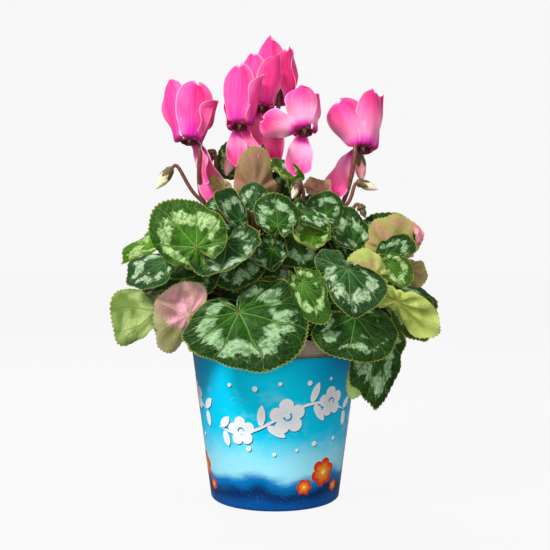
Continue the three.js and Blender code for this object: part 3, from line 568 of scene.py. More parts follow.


# deep is the darker pink that is painted on as shade, in bands across the petal.
def petal_face(name, foot, base, body, edge, deep):
    """A dark foot that runs through the base colour into the body's, with ribs, streaks, bands of deeper pink painted
    as shade, and a pale rim.
    """
    n = Nodes(name, 0.5, Specular_IOR_Level=0.12, Sheen_Weight=0.05, Sheen_Roughness=0.5)
    t, u, _ = n.read("data")
    seed, pale, _ = n.read("kind")
    streak = n.noise(n.combine(u * 5, t * 0.7, seed), 3.2, 4, 0.6)
    cloud = n.noise(n.combine(u, t * 2, seed + 5), 1.7, 2)
    line = u * 8.5 + (cloud - 0.5) * 2
    fan = 1 - n.step(0.03, 0.2, n.size(line - n.math("ROUND", line)))
    result = n.mix(n.step(0.05, 0.14, t), foot, base)
    result = n.mix(n.step(0.1, 0.4, t + (streak - 0.5) * 0.5), result, body)
    # Painted shade: bands of the deep colour across the petal stand in for the shade of its folds.
    painted_shade_band = n.noise(n.combine(u * 1.3 + t * 0.3, t * 0.5, seed + 11), 1.5, 2)
    result = n.mix(n.step(0.46, 0.64, painted_shade_band + (streak - 0.5) * 0.2) * 0.75, result, deep)
    result = n.mix(n.step(0.42, 0.75, streak) * 0.3, result, edge)
    result = n.mix(fan * 0.1 * n.step(0.1, 0.3, t), result, base)
    result = n.mix(n.step(0.35, 1.0, n.size(u) + (cloud - 0.5)) * 0.4, result, edge)
    result = n.mix(pale * n.step(0.12, 0.3, t) * (1 - n.step(0.3, 0.9, t + (streak - 0.5) * 0.6)), result,
                   (250, 196, 224))
    rim = n.most(n.step(0.9, 0.985, n.size(u)), n.step(0.975, 0.995, t))
    result = n.mix(rim * 0.55, result, (252, 196, 228))
    return n.finish(result, streak * 0.6 + fan * 0.4, 0.0004, 0.35)


def plain(name, roughness, first, second, scale, detail, bump=0.5, depth=0.0004):
    """Two colours mixed by a noise at a real scale, with a bump."""
    n = Nodes(name, roughness)
    mottled = n.noise(n.combine(*n.place()), scale, detail, 0.6)
    base = n.mix(n.step(0.4, 0.62, mottled), first, second)
    return n.finish(base, mottled, depth, bump)


def stalk_material(name, low, high, streak):
    """Red-brown at the foot, paler towards the top, with fine streaks along it."""
    n = Nodes(name, 0.48, Specular_IOR_Level=0.4)
    t = n.read("data")[0]
    x, y, z = n.place()
    mottled = n.noise(n.combine(x, y, z * 0.25), 0.9, 4, 0.6)
    base = n.mix(n.step(0.2, 1.0, t), low, high)
    base = n.mix(n.step(0.42, 0.62, mottled) * 0.6, base, streak)
    return n.finish(base, mottled, 0.0003, 0.5)


def bud_material(name, cap, body, tip):
    """The colour of the cap at the top, the bud's own below it, and paler at the tip, with streaks."""
    n = Nodes(name, 0.5, Specular_IOR_Level=0.35)
    t = n.read("data")[0]
    x, y, z = n.place()
    streak = n.noise(n.combine(x * 1.4, y * 1.4, z * 0.4), 0.9, 3)
    base = n.mix(n.step(0.1, 0.5, t + (streak - 0.5) * 0.4), cap, body)
    base = n.mix(n.step(0.55, 0.95, t), base, tip)
    base = n.mix(n.step(0.45, 0.62, streak) * 0.16, base, cap)
    return n.finish(base, streak, 0.0003, 0.4)


def pot_print():
    """Sky blue that deepens towards the sides and the rim, pale mist below, and a dark blue foot with soft waves."""
    n = Nodes("cover_print", 0.3, Specular_IOR_Level=0.08, Coat_Weight=0.04, Coat_Roughness=0.1)
    x, y, z = n.place()
    angle = n.math("ARCTAN2", x, 0 - y)
    ring = n.combine(n.math("SINE", angle), n.math("COSINE", angle), z / PRINT_RADIUS)
    cloud = n.noise(ring, 1.9, 5, 0.62)
    wisp = n.noise(n.combine(x / PRINT_RADIUS, y / PRINT_RADIUS, z / 26), 3.4, 5, 0.6)
    sides = 0.5 - n.math("COSINE", angle * 2 + 0.35) * 0.5
    high = n.step(30, 128, z + (cloud - 0.5) * 60)
    base = n.mix(sides * (0.2 + high * 0.65), (0, 220, 255), (0, 126, 208))
    base = n.mix(n.step(88, 122, z) * sides * 0.5, base, (0, 86, 168))
    mist = n.step(0.5, 0.68, cloud * 0.6 + wisp * 0.4)
    base = n.mix(mist * 0.55 * (1 - n.step(70, 110, z)), base, (190, 244, 255))
    low = (1 - n.step(34, 62, z + (cloud - 0.5) * 34)) * n.step(14, 26, z)
    base = n.mix(low * 0.8, base, (176, 242, 255))
    swell = n.math("SINE", angle * 5) * 2.6 + n.math("SINE", angle * 11 + 1) * 1.2
    ground = z + swell + (wisp - 0.5) * 12
    base = n.mix(1 - n.step(22, 31, ground), base, (0, 122, 196))
    base = n.mix(1 - n.step(13, 23, ground), base, (10, 48, 100))
    base = n.mix((1 - n.step(4, 13, z + swell * 0.6)) * 0.8, base, (6, 88, 168))
    speck = n.noise(n.combine(angle * 26, z * 0.4, 0), 1.3, 5, 0.7)
    base = n.mix((1 - n.step(14, 26, z)) * n.step(0.56, 0.66, speck) * 0.5, base, (60, 130, 196))
    return n.finish(base, wisp, 0.0002, 0.05)


def print_material(name, main, second):
    """The second colour in the middle of a printed shape and the main one at its edge."""
    n = Nodes(name, 0.3, Specular_IOR_Level=0.3)
    t = n.read("data")[0]
    grain = n.noise(n.combine(*n.place()), 0.35, 3)
    base = n.mix(n.step(0.1, 0.9, t + (grain - 0.5) * 0.6), second, main)
    return n.finish(base, grain, 0.0001, 0.1)


# Upper faces: dark and middle green, silver, veins
GREENS = {
    "deep": ((22, 58, 14), (38, 90, 24), (172, 202, 158), (140, 180, 84)),
    "green": ((38, 84, 18), (62, 120, 28), (188, 214, 148), (168, 198, 88)),
    "bright": ((48, 104, 16), (82, 150, 24), (192, 214, 142), (180, 208, 88)),
    "blue": ((28, 66, 30), (40, 88, 38), (188, 208, 172), (150, 186, 110)),
}
GREENS = {name: leaf_upper("leaf_" + name, *colours) for name, colours in GREENS.items()}
# Undersides: main and second colour, veins, and for one the colour of its other half, a darker green that is partly its
# own colour and partly painted shade for the half of its fold that lies in shadow
UNDERS = {
    "plain": ((112, 144, 66), (128, 138, 74), (160, 176, 90)),
    "olive_brown": ((161, 105, 93), (135, 105, 76), (150, 150, 80)),
    "plum": ((164, 100, 98), (190, 130, 114), (156, 148, 84)),
    "olive_pink": ((184, 138, 108), (158, 148, 80), (172, 182, 90)),
    "lime": ((196, 210, 104), (158, 176, 72), (206, 220, 124)),
    "lime_olive": ((172, 184, 96), (176, 148, 100), (194, 206, 112)),
    "pale": ((164, 184, 108), (108, 134, 58), (94, 124, 48)),
    "light": ((186, 216, 130), (164, 202, 108), (196, 224, 144)),
    # The folded pink underside: its other half is green, partly its own colour and partly painted shade.
    "pink": ((240, 164, 188), (180, 126, 120), (200, 186, 142), (132, 138, 70)),
}
UNDERS = {name: leaf_under("under_" + name, *colours) for name, colours in UNDERS.items()}
# Upper and lower look, amount of silver, yellowing, and for some how far the margin sways
LEAF_LOOKS = {
    "leaf_top_right_inner": ("deep", "plain", 0.55, 0.0),
    "leaf_top_olive": ("green", "olive_brown", 0.5, 0.0),
    "leaf_top_plum": ("deep", "plum", 0.5, 0.0, 0.2),
    "leaf_top_right_low": ("deep", "plain", 0.5, 0.0, 0.09),
    "leaf_top_curled": ("deep", "lime", 0.42, 0.1, 0.17),
    "leaf_top_sliver": ("green", "olive_pink", 0.5, 0.0),
    "leaf_top_small": ("blue", "plain", 0.55, 0.0),
    "leaf_right_plum": ("green", "olive_pink", 0.5, 0.0, 0.09),
    "leaf_right_low_green": ("deep", "plain", 0.6, 0.1),
    "leaf_right_olive": ("green", "olive_pink", 0.5, 0.0, 0.09),
    "leaf_left_pointed": ("bright", "lime", 0.55, 0.05),
    "leaf_middle_cup": ("deep", "plain", 0.55, 0.0, 0.09),
    "leaf_right_small": ("deep", "plain", 0.56, 0.0, 0.09),
    "leaf_right_bright": ("green", "lime", 0.66, 0.05),
    "leaf_upper_left": ("blue", "plain", 0.52, 0.0, 0.08),
    "leaf_left_blue": ("blue", "plain", 0.62, 0.0),
    "leaf_centre_ring": ("green", "lime", 0.42, 0.1, 0.09),
    "leaf_upper_right": ("deep", "lime", 0.52, 0.0),
    "leaf_left_crescent": ("blue", "plain", 0.76, 0.0),
    "leaf_left_pale": ("green", "pale", 0.5, 0.0),
    "leaf_right_lime": ("green", "lime_olive", 0.5, 0.0, 0.09),
    "leaf_upper_middle": ("deep", "plain", 0.56, 0.0, 0.1),
    "leaf_right_hanging_under": ("green", "light", 0.5, 0.0),
    "leaf_right_low_lime": ("green", "lime", 0.5, 0.0),
    "leaf_left_pink": ("green", "pink", 0.5, 0.0),
    "leaf_right_hanging": ("deep", "light", 0.74, 0.0),
    "leaf_front_right": ("deep", "plain", 0.58, 0.0),
    "leaf_right_dark": ("blue", "plain", 0.62, 0.0),
    "leaf_centre_long": ("green", "plain", 0.54, 0.0),
    "leaf_left_large": ("green", "plain", 0.6, 0.0),
    "leaf_front_large": ("deep", "plain", 0.84, 0.0),
}

STALK = stalk_material("leaf_stalk", (96, 52, 46), (128, 98, 62), (72, 40, 36))
FLOWER_STALK = stalk_material("flower_stalk", (112, 58, 50), (126, 66, 54), (150, 98, 78))
SEPAL = plain("sepal", 0.55, (86, 62, 44), (112, 104, 56), 1.1, 4)
CORK = plain("tuber_cork", 0.9, (66, 46, 32), (112, 84, 60), 0.35, 6, bump=0.9, depth=0.002)
EARTH = plain("potting_soil", 0.95, (34, 24, 18), (74, 54, 40), 0.5, 6, bump=1.0, depth=0.002)
TAUPE = plain("nursery_plastic", 0.5, (196, 172, 158), (206, 184, 170), 0.25, 3, bump=0.2, depth=0.0004)


# Leaves


def reach(angle, sinus):
    """How far the blade's edge lies from the stalk, in blade radii. Angle 0 is the tip, opposite the sinus."""
    circle = OUTLINE["centre"] * np.cos(angle) + np.sqrt(1 - (OUTLINE["centre"] * np.sin(angle)) ** 2)
    point = OUTLINE["point"] * np.exp(-((angle / OUTLINE["point_spread"]) ** 2))
    opened = smooth((np.pi - np.abs(angle)) / sinus)
    return (circle + point) * (1 - OUTLINE["sinus_depth"] * (1 - opened))


def bend(s, h, curl):
    """A place s along and h above a line, once the line is curled by an angle for each unit of length."""
    if abs(curl) < 1e-4:
        return s, h
    return (1 / curl + h) * np.sin(s * curl), (1 / curl + h) * np.cos(s * curl) - 1 / curl


def blade_point(leaf, angle, r, trim=1.0, lift=0.0, sinus=SINUS):
    angle = np.asarray(angle, float)
    out = reach(angle, sinus) * r * trim
    flat = leaf["width"] * out * np.sin(angle)
    fold = math.radians(leaf["fold"])
    height = leaf["wave"] * r**3 * np.sin(3 * angle + leaf["phase"]) - np.abs(flat) * math.sin(fold) + lift
    x, h = bend(flat * math.cos(fold), height, math.radians(leaf["across"]))
    y, z = bend(out * np.cos(angle), h, math.radians(leaf["along"]))
    return np.stack([x, y, z], -1)


def basis(chord, up):
    y = unit(chord)
    z = unit(up - y * up.dot(y))
    return np.array([np.cross(y, z), y, z]).T


def leaf_of(row):
    name, base, tip, face, width, across, along, fold, wave, phase, *over = row
    leaf = {"name": name, "base": np.array(base, float), "tip": np.array(tip, float), "up": facing(*face)}
    leaf |= {"width": width, "across": across, "along": along, "fold": fold, "wave": wave, "phase": phase}
    leaf["over"] = np.array(over[0], float) if over else None
    tip_at = blade_point(leaf, 0.0, 1, sinus=CAD_SINUS)
    chord = leaf["tip"] - leaf["base"]
    leaf["size"] = np.linalg.norm(chord) / np.linalg.norm(tip_at)
    leaf["turn"] = basis(chord, leaf["up"]) @ basis(tip_at, UP).T * leaf["size"]
    return leaf


def settled(rows, nodes, kind, step):
    """Leaves from their rows, each moved along Y to where its solid lies."""
    leaves = []
    trees = {}
    for row in rows:
        leaf = leaf_of(row)
        node = nodes or leaf["name"]
        if node not in trees:
            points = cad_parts[node].data.vertices
            trees[node] = KDTree(len(points))
            for i, vertex in enumerate(points):
                trees[node].insert(vertex.co / MM, i)
            trees[node].balance()
        small = kind == "front" and np.linalg.norm(leaf["tip"] - leaf["base"]) < SMALL_LENGTH
        count = CAD_RIMS["small" if small else kind]
        places = np.arange(count)
        notch = np.where((places > 0) & (places % 2 == 0), 1 - CAD_TOOTH, 1.0)
        angles = -np.pi + 2 * np.pi * places / count
        rim = blade_point(leaf, angles, 1, notch, sinus=CAD_SINUS) @ leaf["turn"].T + leaf["base"]

        def miss(move):
            return sum(min(MISS_LIMIT, trees[node].find(Vector(p + [0, move, 0]))[2]) for p in rim)

        move = min((step * n for n in range(MOVES)), key=miss)
        leaf["base"][1] += move
        leaf["tip"][1] += move
        leaves.append(leaf)
    return leaves


# How far the edge of a blade lies out, in per cent of its round outline, every 20 degrees from the sinus round
EDGES = {
    "leaf_left_large": [120, 120, 101, 88, 72, 81, 88, 94, 103, 104, 97, 91, 91, 107, 114, 119, 118, 105],
    "leaf_front_large": [125, 130, 130, 120, 110, 94, 96, 102, 110, 100, 86, 78, 86, 100, 120, 130, 130, 125],
    "leaf_right_dark": [80, 50, 36, 27, 27, 36, 100, 92, 86, 89, 80, 66, 62, 74, 102, 142, 145, 115],
    "leaf_centre_long": [120, 120, 120, 120, 120, 101, 87, 78, 98, 100, 98, 94, 77, 66, 73, 72, 73, 99],
    "leaf_front_right": [100, 116, 120, 120, 120, 108, 101, 106, 103, 95, 104, 99, 78, 95, 100, 100, 100, 100],
    "leaf_left_crescent": [100, 110, 120, 114, 110, 106, 109, 118, 110, 105, 110, 99, 98, 100, 100, 100, 100, 100],
    "leaf_upper_left": [100, 100, 91, 82, 89, 91, 101, 105, 100, 89, 87, 88, 86, 80, 72, 66, 78, 100],
    "leaf_upper_middle": [120, 81, 78, 83, 73, 83, 85, 101, 108, 101, 100, 99, 93, 91, 92, 95, 95, 120],
    "leaf_left_blue": [100, 100, 98, 67, 82, 112, 101, 94, 90, 98, 96, 92, 69, 52, 55, 92, 100, 100],
    "leaf_left_pointed": [100, 100, 100, 100, 100, 100, 89, 66, 77, 95, 97, 101, 115, 120, 101, 100, 100, 100],
    "leaf_left_pale": [100, 100, 100, 100, 100, 100, 94, 78, 98, 99, 100, 114, 72, 45, 60, 85, 100, 100],
    "leaf_left_pink": [100, 100, 100, 106, 120, 112, 97, 94, 91, 95, 98, 102, 126, 132, 80, 100, 100, 100],
    "leaf_right_low_lime": [130, 105, 100, 100, 60, 50, 56, 64, 85, 92, 86, 84, 82, 74, 62, 64, 99, 125],
    "leaf_right_lime": [100, 100, 100, 100, 100, 94, 82, 66, 82, 98, 102, 104, 86, 100, 100, 100, 100, 100],
    "leaf_right_bright": [100, 100, 100, 100, 114, 120, 120, 100, 93, 88, 80, 74, 102, 95, 97, 100, 100, 100],
    "leaf_right_small": [100, 100, 100, 100, 100, 85, 90, 118, 101, 92, 85, 69, 66, 92, 66, 66, 90, 100],
    "leaf_right_olive": [100, 100, 100, 100, 100, 90, 112, 76, 96, 90, 81, 89, 83, 66, 92, 100, 100, 100],
    "leaf_right_plum": [77, 96, 100, 100, 100, 100, 102, 113, 115, 101, 84, 85, 86, 66, 81, 100, 100, 96],
    "leaf_right_hanging": [100, 100, 100, 100, 100, 94, 92, 116, 113, 89, 86, 104, 102, 100, 100, 100, 100, 100],
    "leaf_middle_cup": [100, 100, 100, 87, 79, 71, 71, 66, 78, 99, 111, 98, 66, 66, 90, 100, 100, 100],
    "leaf_centre_ring": [100, 100, 93, 77, 87, 88, 76, 66, 75, 94, 106, 101, 100, 100, 100, 100, 100, 100],
    "leaf_top_olive": [100, 100, 100, 100, 100, 99, 73, 88, 105, 100, 97, 95, 97, 100, 100, 100, 100, 100],
    "leaf_top_plum": [100, 100, 100, 100, 96, 77, 82, 99, 73, 77, 119, 120, 87, 88, 66, 66, 100, 100],
    "leaf_top_curled": [94, 100, 100, 71, 66, 101, 99, 81, 90, 89, 74, 66, 66, 70, 83, 100, 83, 77],
    "leaf_top_sliver": [100, 100, 100, 100, 100, 75, 66, 80, 80, 93, 66, 88, 98, 100, 100, 100, 100, 100],
    "leaf_top_right_inner": [100, 100, 100, 100, 100, 100, 100, 100, 100, 86, 72, 67, 70, 67, 66, 66, 99, 100],
}
EDGE_STEP = math.radians(20)
# How far below its solid a blade lies, and folds that differ from the solids'
DROPS = {"leaf_right_dark": 5}
FOLDS = {"leaf_upper_left": -44, "leaf_right_small": -24, "leaf_left_pointed": -20, "leaf_right_low_lime": 18}
# Where a blade's margin rises or sinks: way from its tip, half width of the place, height in blade lengths
CURLS = {
    "leaf_left_crescent": [(-20, 50, 0.27), (60, 40, 0.2), (-110, 40, 0.14)],
    "leaf_middle_cup": [(0, 70, 0.4), (110, 50, 0.34), (-110, 50, 0.34)],
    "leaf_centre_ring": [(10, 60, 0.42), (-80, 50, 0.42), (100, 50, 0.34)],
    "leaf_upper_left": [(-75, 45, 0.32), (75, 45, 0.28), (180, 30, 0.1)],
    "leaf_right_dark": [(-70, 40, 0.22), (85, 40, -0.2), (20, 30, 0.12)],
    "leaf_front_right": [(60, 35, 0.16), (-20, 30, -0.1), (-85, 35, 0.14), (20, 22, 0.08)],
    "leaf_centre_long": [(-50, 30, 0.22), (60, 40, -0.16), (140, 40, 0.2)],
    "leaf_right_low_lime": [(70, 40, 0.3), (-20, 30, -0.14), (-80, 40, 0.16)],
    "leaf_right_lime": [(-50, 40, 0.28), (60, 40, 0.18)],
    "leaf_left_pink": [(90, 50, 0.3), (-60, 40, -0.14)],
    "leaf_left_pale": [(-70, 40, 0.2), (40, 30, -0.12)],
    "leaf_upper_middle": [(-60, 34, 0.2), (50, 30, -0.12), (0, 26, 0.12), (140, 35, 0.2)],
    "leaf_left_large": [(120, 40, 0.12), (-60, 30, -0.1), (40, 25, 0.07)],
    "leaf_front_large": [(100, 36, 0.14), (-100, 40, 0.14), (10, 26, -0.07), (50, 22, 0.07), (-45, 22, 0.06)],
    "leaf_right_olive": [(60, 35, 0.26), (-55, 28, 0.26), (-25, 18, -0.1), (10, 25, -0.14)],
    "leaf_top_plum": [(40, 50, 0.3), (-40, 40, -0.2)],
    "leaf_top_olive": [(60, 40, 0.16), (-60, 40, 0.2), (0, 25, -0.08)],
    "leaf_right_hanging": [(-80, 40, 0.22), (60, 36, -0.16)],
    "leaf_right_bright": [(60, 40, 0.24), (-60, 40, 0.2)],
    "leaf_right_small": [(-40, 40, 0.3), (70, 40, 0.2)],
    "leaf_left_blue": [(60, 40, 0.2), (-70, 40, 0.16)],
    "leaf_top_curled": [(-60, 40, 0.24), (60, 40, 0.24)],
}


def edge_of(leaf, angle):
    """How far the edge lies out at an angle, from the blade's own row or, without one, a slight unevenness."""
    percent = EDGES.get(leaf["name"])
    if percent is None:
        seed = leaf["base"][0] * 0.31 + leaf["base"][2] * 0.17
        uneven = 1 + 0.05 * np.sin(2 * angle + seed) + 0.04 * np.sin(3 * angle + 2 * seed)
        return uneven + 0.025 * np.sin(5 * angle - seed)
    values = np.array(percent) / 100
    places = -np.pi + EDGE_STEP * np.arange(len(values))
    away = (angle[:, None] - places + np.pi) % (2 * np.pi) - np.pi
    weight = np.exp(-((away / (EDGE_STEP * 0.62)) ** 2))
    return (weight * values).sum(1) / weight.sum(1)


def add_leaf(piece, leaf, looks, kind, spacing=TOOTH["behind"]):
    """A blade with toothed margin, sunken veins and a slight ruffle."""
    around = EDGE_LENGTH * leaf["size"] * math.sqrt(leaf["width"])
    teeth = 2 * int(np.clip(round(around / spacing / 2), TOOTH["fewest"], TOOTH["most"]))
    phase = kind[0] * 2.3
    turn = math.degrees(phase) % 360
    curls = CURLS.get(leaf["name"], [(turn, 40, 0.16), (turn + 130, 36, -0.12), (turn + 230, 40, 0.14)])
    points, data, halves, faces = [np.zeros((1, 3))], [np.zeros((1, 3))], [np.full(1, BLADE_HALF[0])], []
    start, inner, before = 1, None, 0
    for rim, factor in LEAF_RINGS:
        count = int(teeth * factor)
        k = np.arange(count)
        angle = -np.pi + 2 * np.pi * k / count
        bite = max(0.0, (rim - TOOTH["from"]) / (1 - TOOTH["from"]))
        trim = 1 - TOOTH["depth"] * bite * (1 - np.abs(np.sin(teeth * (angle + np.pi) / 2)))
        trim = trim * (1 + (edge_of(leaf, angle) - 1) * rim**0.7)
        m = np.abs(angle / VEIN_STEP - np.round(angle / VEIN_STEP))
        lift = -RELIEF["bulge"] * np.cos(2 * np.pi * m) * math.sin(math.pi * rim) * min(1, rim * 2)
        lift = lift + RELIEF["ruffle"] * rim**5 * (np.sin(9 * angle + phase) + 0.6 * np.sin(14 * angle - 2 * phase))
        for way, half, height in curls:
            away = (angle - math.radians(way) + np.pi) % (2 * np.pi) - np.pi
            lift = lift + height * rim**2.2 * np.exp(-((away / math.radians(half)) ** 2))
        sway = 0.5 * np.sin(2 * angle + phase) + 0.6 * np.sin(4 * angle + 2 * phase) + 0.3 * np.sin(7 * angle - phase)
        lift = lift + leaf.get("sway", RELIEF["sway"]) * rim**2.5 * sway
        points.append(blade_point(leaf, angle, rim, trim, lift))
        out = reach(angle, SINUS) * rim
        data.append(np.stack([out * np.sin(angle), out * np.cos(angle), np.full(count, rim)], -1))
        halves.append(np.full(count, BLADE_HALF[0] + (BLADE_HALF[1] - BLADE_HALF[0]) * rim))
        here = start + k
        following = start + (k + 1) % count
        if inner is None:
            faces.append(np.stack([np.zeros(count, int), following, here], -1))
        elif count == before:
            a, b = inner + k, inner + (k + 1) % count
            faces += [np.stack([a, following, here], -1), np.stack([a, b, following], -1)]
        else:
            j = np.arange(before)
            a, b = inner + j, inner + (j + 1) % before
            c, d, e = start + 2 * j, start + 2 * j + 1, start + (2 * j + 2) % count
            faces += [np.stack([a, d, c], -1), np.stack([a, b, d], -1), np.stack([b, e, d], -1)]
        inner, before, start = start, count, start + count
    middle = np.concatenate(points) @ leaf["turn"].T + leaf["base"]
    border = np.arange(start - 1, inner - 1, -1)
    add_sheet(piece, middle, np.concatenate(faces), border, np.concatenate(halves), looks, np.concatenate(data), kind)


def spread_roots(feet, middle, half, rings):
    """Places in part of the crown, in the order of the ways in which the stalks lean."""
    turn = [(math.degrees(math.atan2(x, -y)) - middle + 540) % 360 - 180 for x, y, _ in feet]
    order = sorted(range(len(feet)), key=lambda i: turn[i])
    roots = [None] * len(feet)
    for rank, i in enumerate(order):
        angle = middle + half * ((2 * rank + 1) / len(feet) - 1)
        roots[i] = facing(angle, 0) * rings[rank % len(rings)] + UP * ROOT["height"]
    return roots


def add_leaf_stalk(piece, leaf, root, gap, look):
    chord = unit(leaf["tip"] - leaf["base"])
    normal = unit(leaf["up"] - chord * leaf["up"].dot(chord))
    away = leaf["base"][:2].dot(normal[:2]) < 0
    length = np.linalg.norm(leaf["tip"] - leaf["base"])
    end = leaf["base"] + normal * (gap * 1.6 if away else -gap) - (chord * length * 0.05 if away else 0)
    arrive = unit(chord - 0.4 * normal) if away else 0.8 * normal + 0.6 * chord
    span = np.linalg.norm(end - root)
    outward = unit((end - root) * [1, 1, 0])
    rise = root + outward * span * 0.12 + UP * span * 0.3
    meet = end + (leaf["over"] if leaf["over"] is not None else -arrive * span * 0.3)
    t = np.linspace(0, 1, 22)[:, None]
    path = (1 - t) ** 3 * root + 3 * (1 - t) ** 2 * t * rise + 3 * (1 - t) * t * t * meet + t**3 * end
    path = np.concatenate([path, [leaf["base"] + (path[-1] - leaf["base"]) * 0.15]])
    radii = np.interp(np.linspace(0, 1, len(path)), [0, 0.06, 0.9, 1], [2.4, 1.5, 1.25, 1.1])
    add_tube(piece, path, radii, 9, look)


def add_crown(piece, middle, half, look):
    angles = np.linspace(middle - half, middle + half, 30)
    path = np.array([facing(a, 0) * ROOT["crown_radius"] + UP * ROOT["crown_height"] for a in angles])
    radii = 2.2 + 0.35 * np.sin(np.arange(30) * 2.4)
    add_tube(piece, path, radii, 12, look)


# Leaves that fill the bush: way out, distance, height, length, droop
FILL_LEAVES = [
    (-62, 36, 172, 30, 40), (-36, 34, 180, 30, 42), (-10, 32, 172, 30, 45), (16, 34, 182, 30, 40),
    (42, 36, 174, 30, 42), (66, 38, 182, 30, 38), (-50, 32, 206, 30, 35), (-20, 30, 212, 28, 35),
    (12, 30, 214, 28, 38), (44, 34, 208, 30, 35), (78, 58, 196, 34, 34), (104, 60, 176, 34, 38),
    (92, 48, 220, 30, 28), (-80, 58, 198, 34, 34), (-106, 60, 178, 34, 38), (-94, 48, 222, 30, 28),
    (128, 56, 204, 32, 34), (-130, 58, 202, 32, 34), (160, 44, 232, 30, 28), (-166, 46, 228, 30, 28),
    (128, 34, 244, 26, 20), (-120, 34, 244, 26, 20), (-84, 68, 164, 34, 44), (82, 70, 158, 32, 44),
    (60, 66, 178, 28, 46), (66, 52, 204, 28, 38), (50, 62, 214, 24, 34), (58, 76, 150, 28, 52), (76, 44, 226, 26, 30),
    (-60, 66, 178, 28, 46), (-66, 52, 206, 28, 38), (-50, 62, 212, 24, 34), (-58, 72, 152, 28, 52),
    (-74, 44, 226, 26, 30),
]

# Leaves that close a gap: stalk end, tip, the way the face looks, width
GAP_LEAVES = [
    [[-38, -34, 236], [-46, -42, 212], [-10, 35], 1.1], [[-66, -36, 206], [-84, -50, 182], [-25, 32], 1.1],
    [[16, -42, 212], [24, -56, 186], [5, 35], 1.1], [[22, -60, 166], [31, -76, 138], [8, 35], 1.15],
    [[74, -32, 186], [92, -42, 162], [30, 35], 1.1], [[4, 6, 246], [6, -6, 268], [0, 20], 1.0],
    [[-30, -44, 196], [-34, -60, 170], [-8, 35], 1.1], [[50, -40, 190], [56, -56, 166], [12, 35], 1.1],
    [[-84, -44, 186], [-98, -54, 166], [-30, 30], 1.0], [[34, -18, 240], [44, -28, 218], [15, 35], 1.0],
    [[-60, -40, 194], [-74, -56, 166], [-20, 30], 1.1], [[-72, -46, 176], [-86, -58, 152], [-20, 30], 1.1],
    [[86, -18, 206], [99, -14, 232], [12, 25], 1.15], [[105, 46, 161], [141, 60, 151], [62, 44], 1.2],
]


def fill_row(row):
    way, distance, height, length, droop = row
    out = facing(way, 0)
    base = out * distance + UP * height
    tip = base + (out * math.cos(math.radians(droop)) - UP * math.sin(math.radians(droop))) * length
    return ["fill", base, tip, [way, 90 - droop], 1.08, 18, 12, 0, 0.06, way * 0.1]


front = settled(FRONT_LEAVES, None, "front", -1)
inner_leaves = settled(INNER_LEAVES, "leaves_inner", "fused", 1)
back = settled(BACK_LEAVES, "leaves_back", "fused", 1)

for i, leaf in enumerate(front):
    leaf["fold"] = FOLDS.get(leaf["name"], leaf["fold"])
    leaf["base"] = leaf["base"] - UP * DROPS.get(leaf["name"], 0)
    upper, under, amount, tint, *sway = LEAF_LOOKS[leaf["name"]]
    if sway:
        leaf["sway"] = sway[0]
    piece = Piece()
    add_leaf(piece, leaf, (0, 1), (i * 1.7 + 0.4, amount, tint), TOOTH["front"])
    shows_under = leaf["up"][1] > 0
    slot = "leaf_underside" if shows_under else "leaf"
    piece.make("blade_" + leaf["name"][5:], [GREENS[upper], UNDERS[under]], slot, leaf["name"])

front_half = 180 - CROWN_BACK_HALF - CROWN_SPLIT
fill = [leaf_of(fill_row(row)) for row in FILL_LEAVES]
gap_leaves = [leaf_of(["gap", *row, 18, 12, 0, 0.06, i]) for i, row in enumerate(GAP_LEAVES)]
for label, mine, carried, middle, half, more in (
    ("inner", inner_leaves, front, 0, front_half,
     [leaf for leaf, row in zip(fill, FILL_LEAVES) if abs(row[0]) < 120] + gap_leaves),
    ("back", back, [], 180, CROWN_BACK_HALF, [leaf for leaf, row in zip(fill, FILL_LEAVES) if abs(row[0]) >= 120]),
):
    piece = Piece()
    more_roots = spread_roots([leaf["base"] for leaf in more], middle, half - ROOT["margin"], ROOT["more_rings"])
    for i, (leaf, root) in enumerate(zip(more, more_roots)):
        add_leaf_stalk(piece, leaf, root, FUSED_GAP, 2)
        add_leaf(piece, leaf, (0, 1), (90 + i * 3.3 + len(label), 0.5 + 0.3 * math.sin(i * 1.9), 0.0))
    together = carried + mine
    roots = spread_roots([leaf["base"] for leaf in together], middle, half - ROOT["margin"], ROOT["leaf_rings"])
    add_crown(piece, middle, half - 4, 2)
    for i, (leaf, root) in enumerate(zip(together, roots)):
        add_leaf_stalk(piece, leaf, root, STALK_GAP if i < len(carried) else FUSED_GAP, 2)
    for i, leaf in enumerate(mine):
        add_leaf(piece, leaf, (0, 1), (60 + i * 2.1 + len(label), 0.62 + 0.3 * math.sin(i * 2.3), 0.0))
    # Painted shade: the inner leaves take the darker green to stand for the shade inside the bush. The back leaves take
    # the middle green.
    green = GREENS["deep"] if label == "inner" else GREENS["green"]
    piece.make(label + "_leaves", [green, UNDERS["plain"], STALK], "leaf", "leaves_" + label)


# Flowers and buds


def catmull(points, per):
    """A centripetal curve through points."""
    p = [np.asarray(q, float) for q in points]
    p = [2 * p[0] - p[1]] + p + [2 * p[-1] - p[-2]]
    out = []
    for i in range(1, len(p) - 2):
        d0, d1, d2 = (max(1e-4, np.linalg.norm(p[i + s] - p[i + s - 1])) ** 0.5 for s in range(3))
        t1 = ((p[i] - p[i - 1]) / d0 - (p[i + 1] - p[i - 1]) / (d0 + d1) + (p[i + 1] - p[i]) / d1) * d1
        t2 = ((p[i + 1] - p[i]) / d1 - (p[i + 2] - p[i]) / (d1 + d2) + (p[i + 2] - p[i + 1]) / d2) * d1
        for t in np.linspace(0, 1, per, endpoint=False):
            c2 = -3 * p[i] + 3 * p[i + 1] - 2 * t1 - t2
            c3 = 2 * p[i] - 2 * p[i + 1] + t1 + t2
            out.append(p[i] + t1 * t + c2 * t * t + c3 * t**3)
    return np.array(out + [p[-2]])


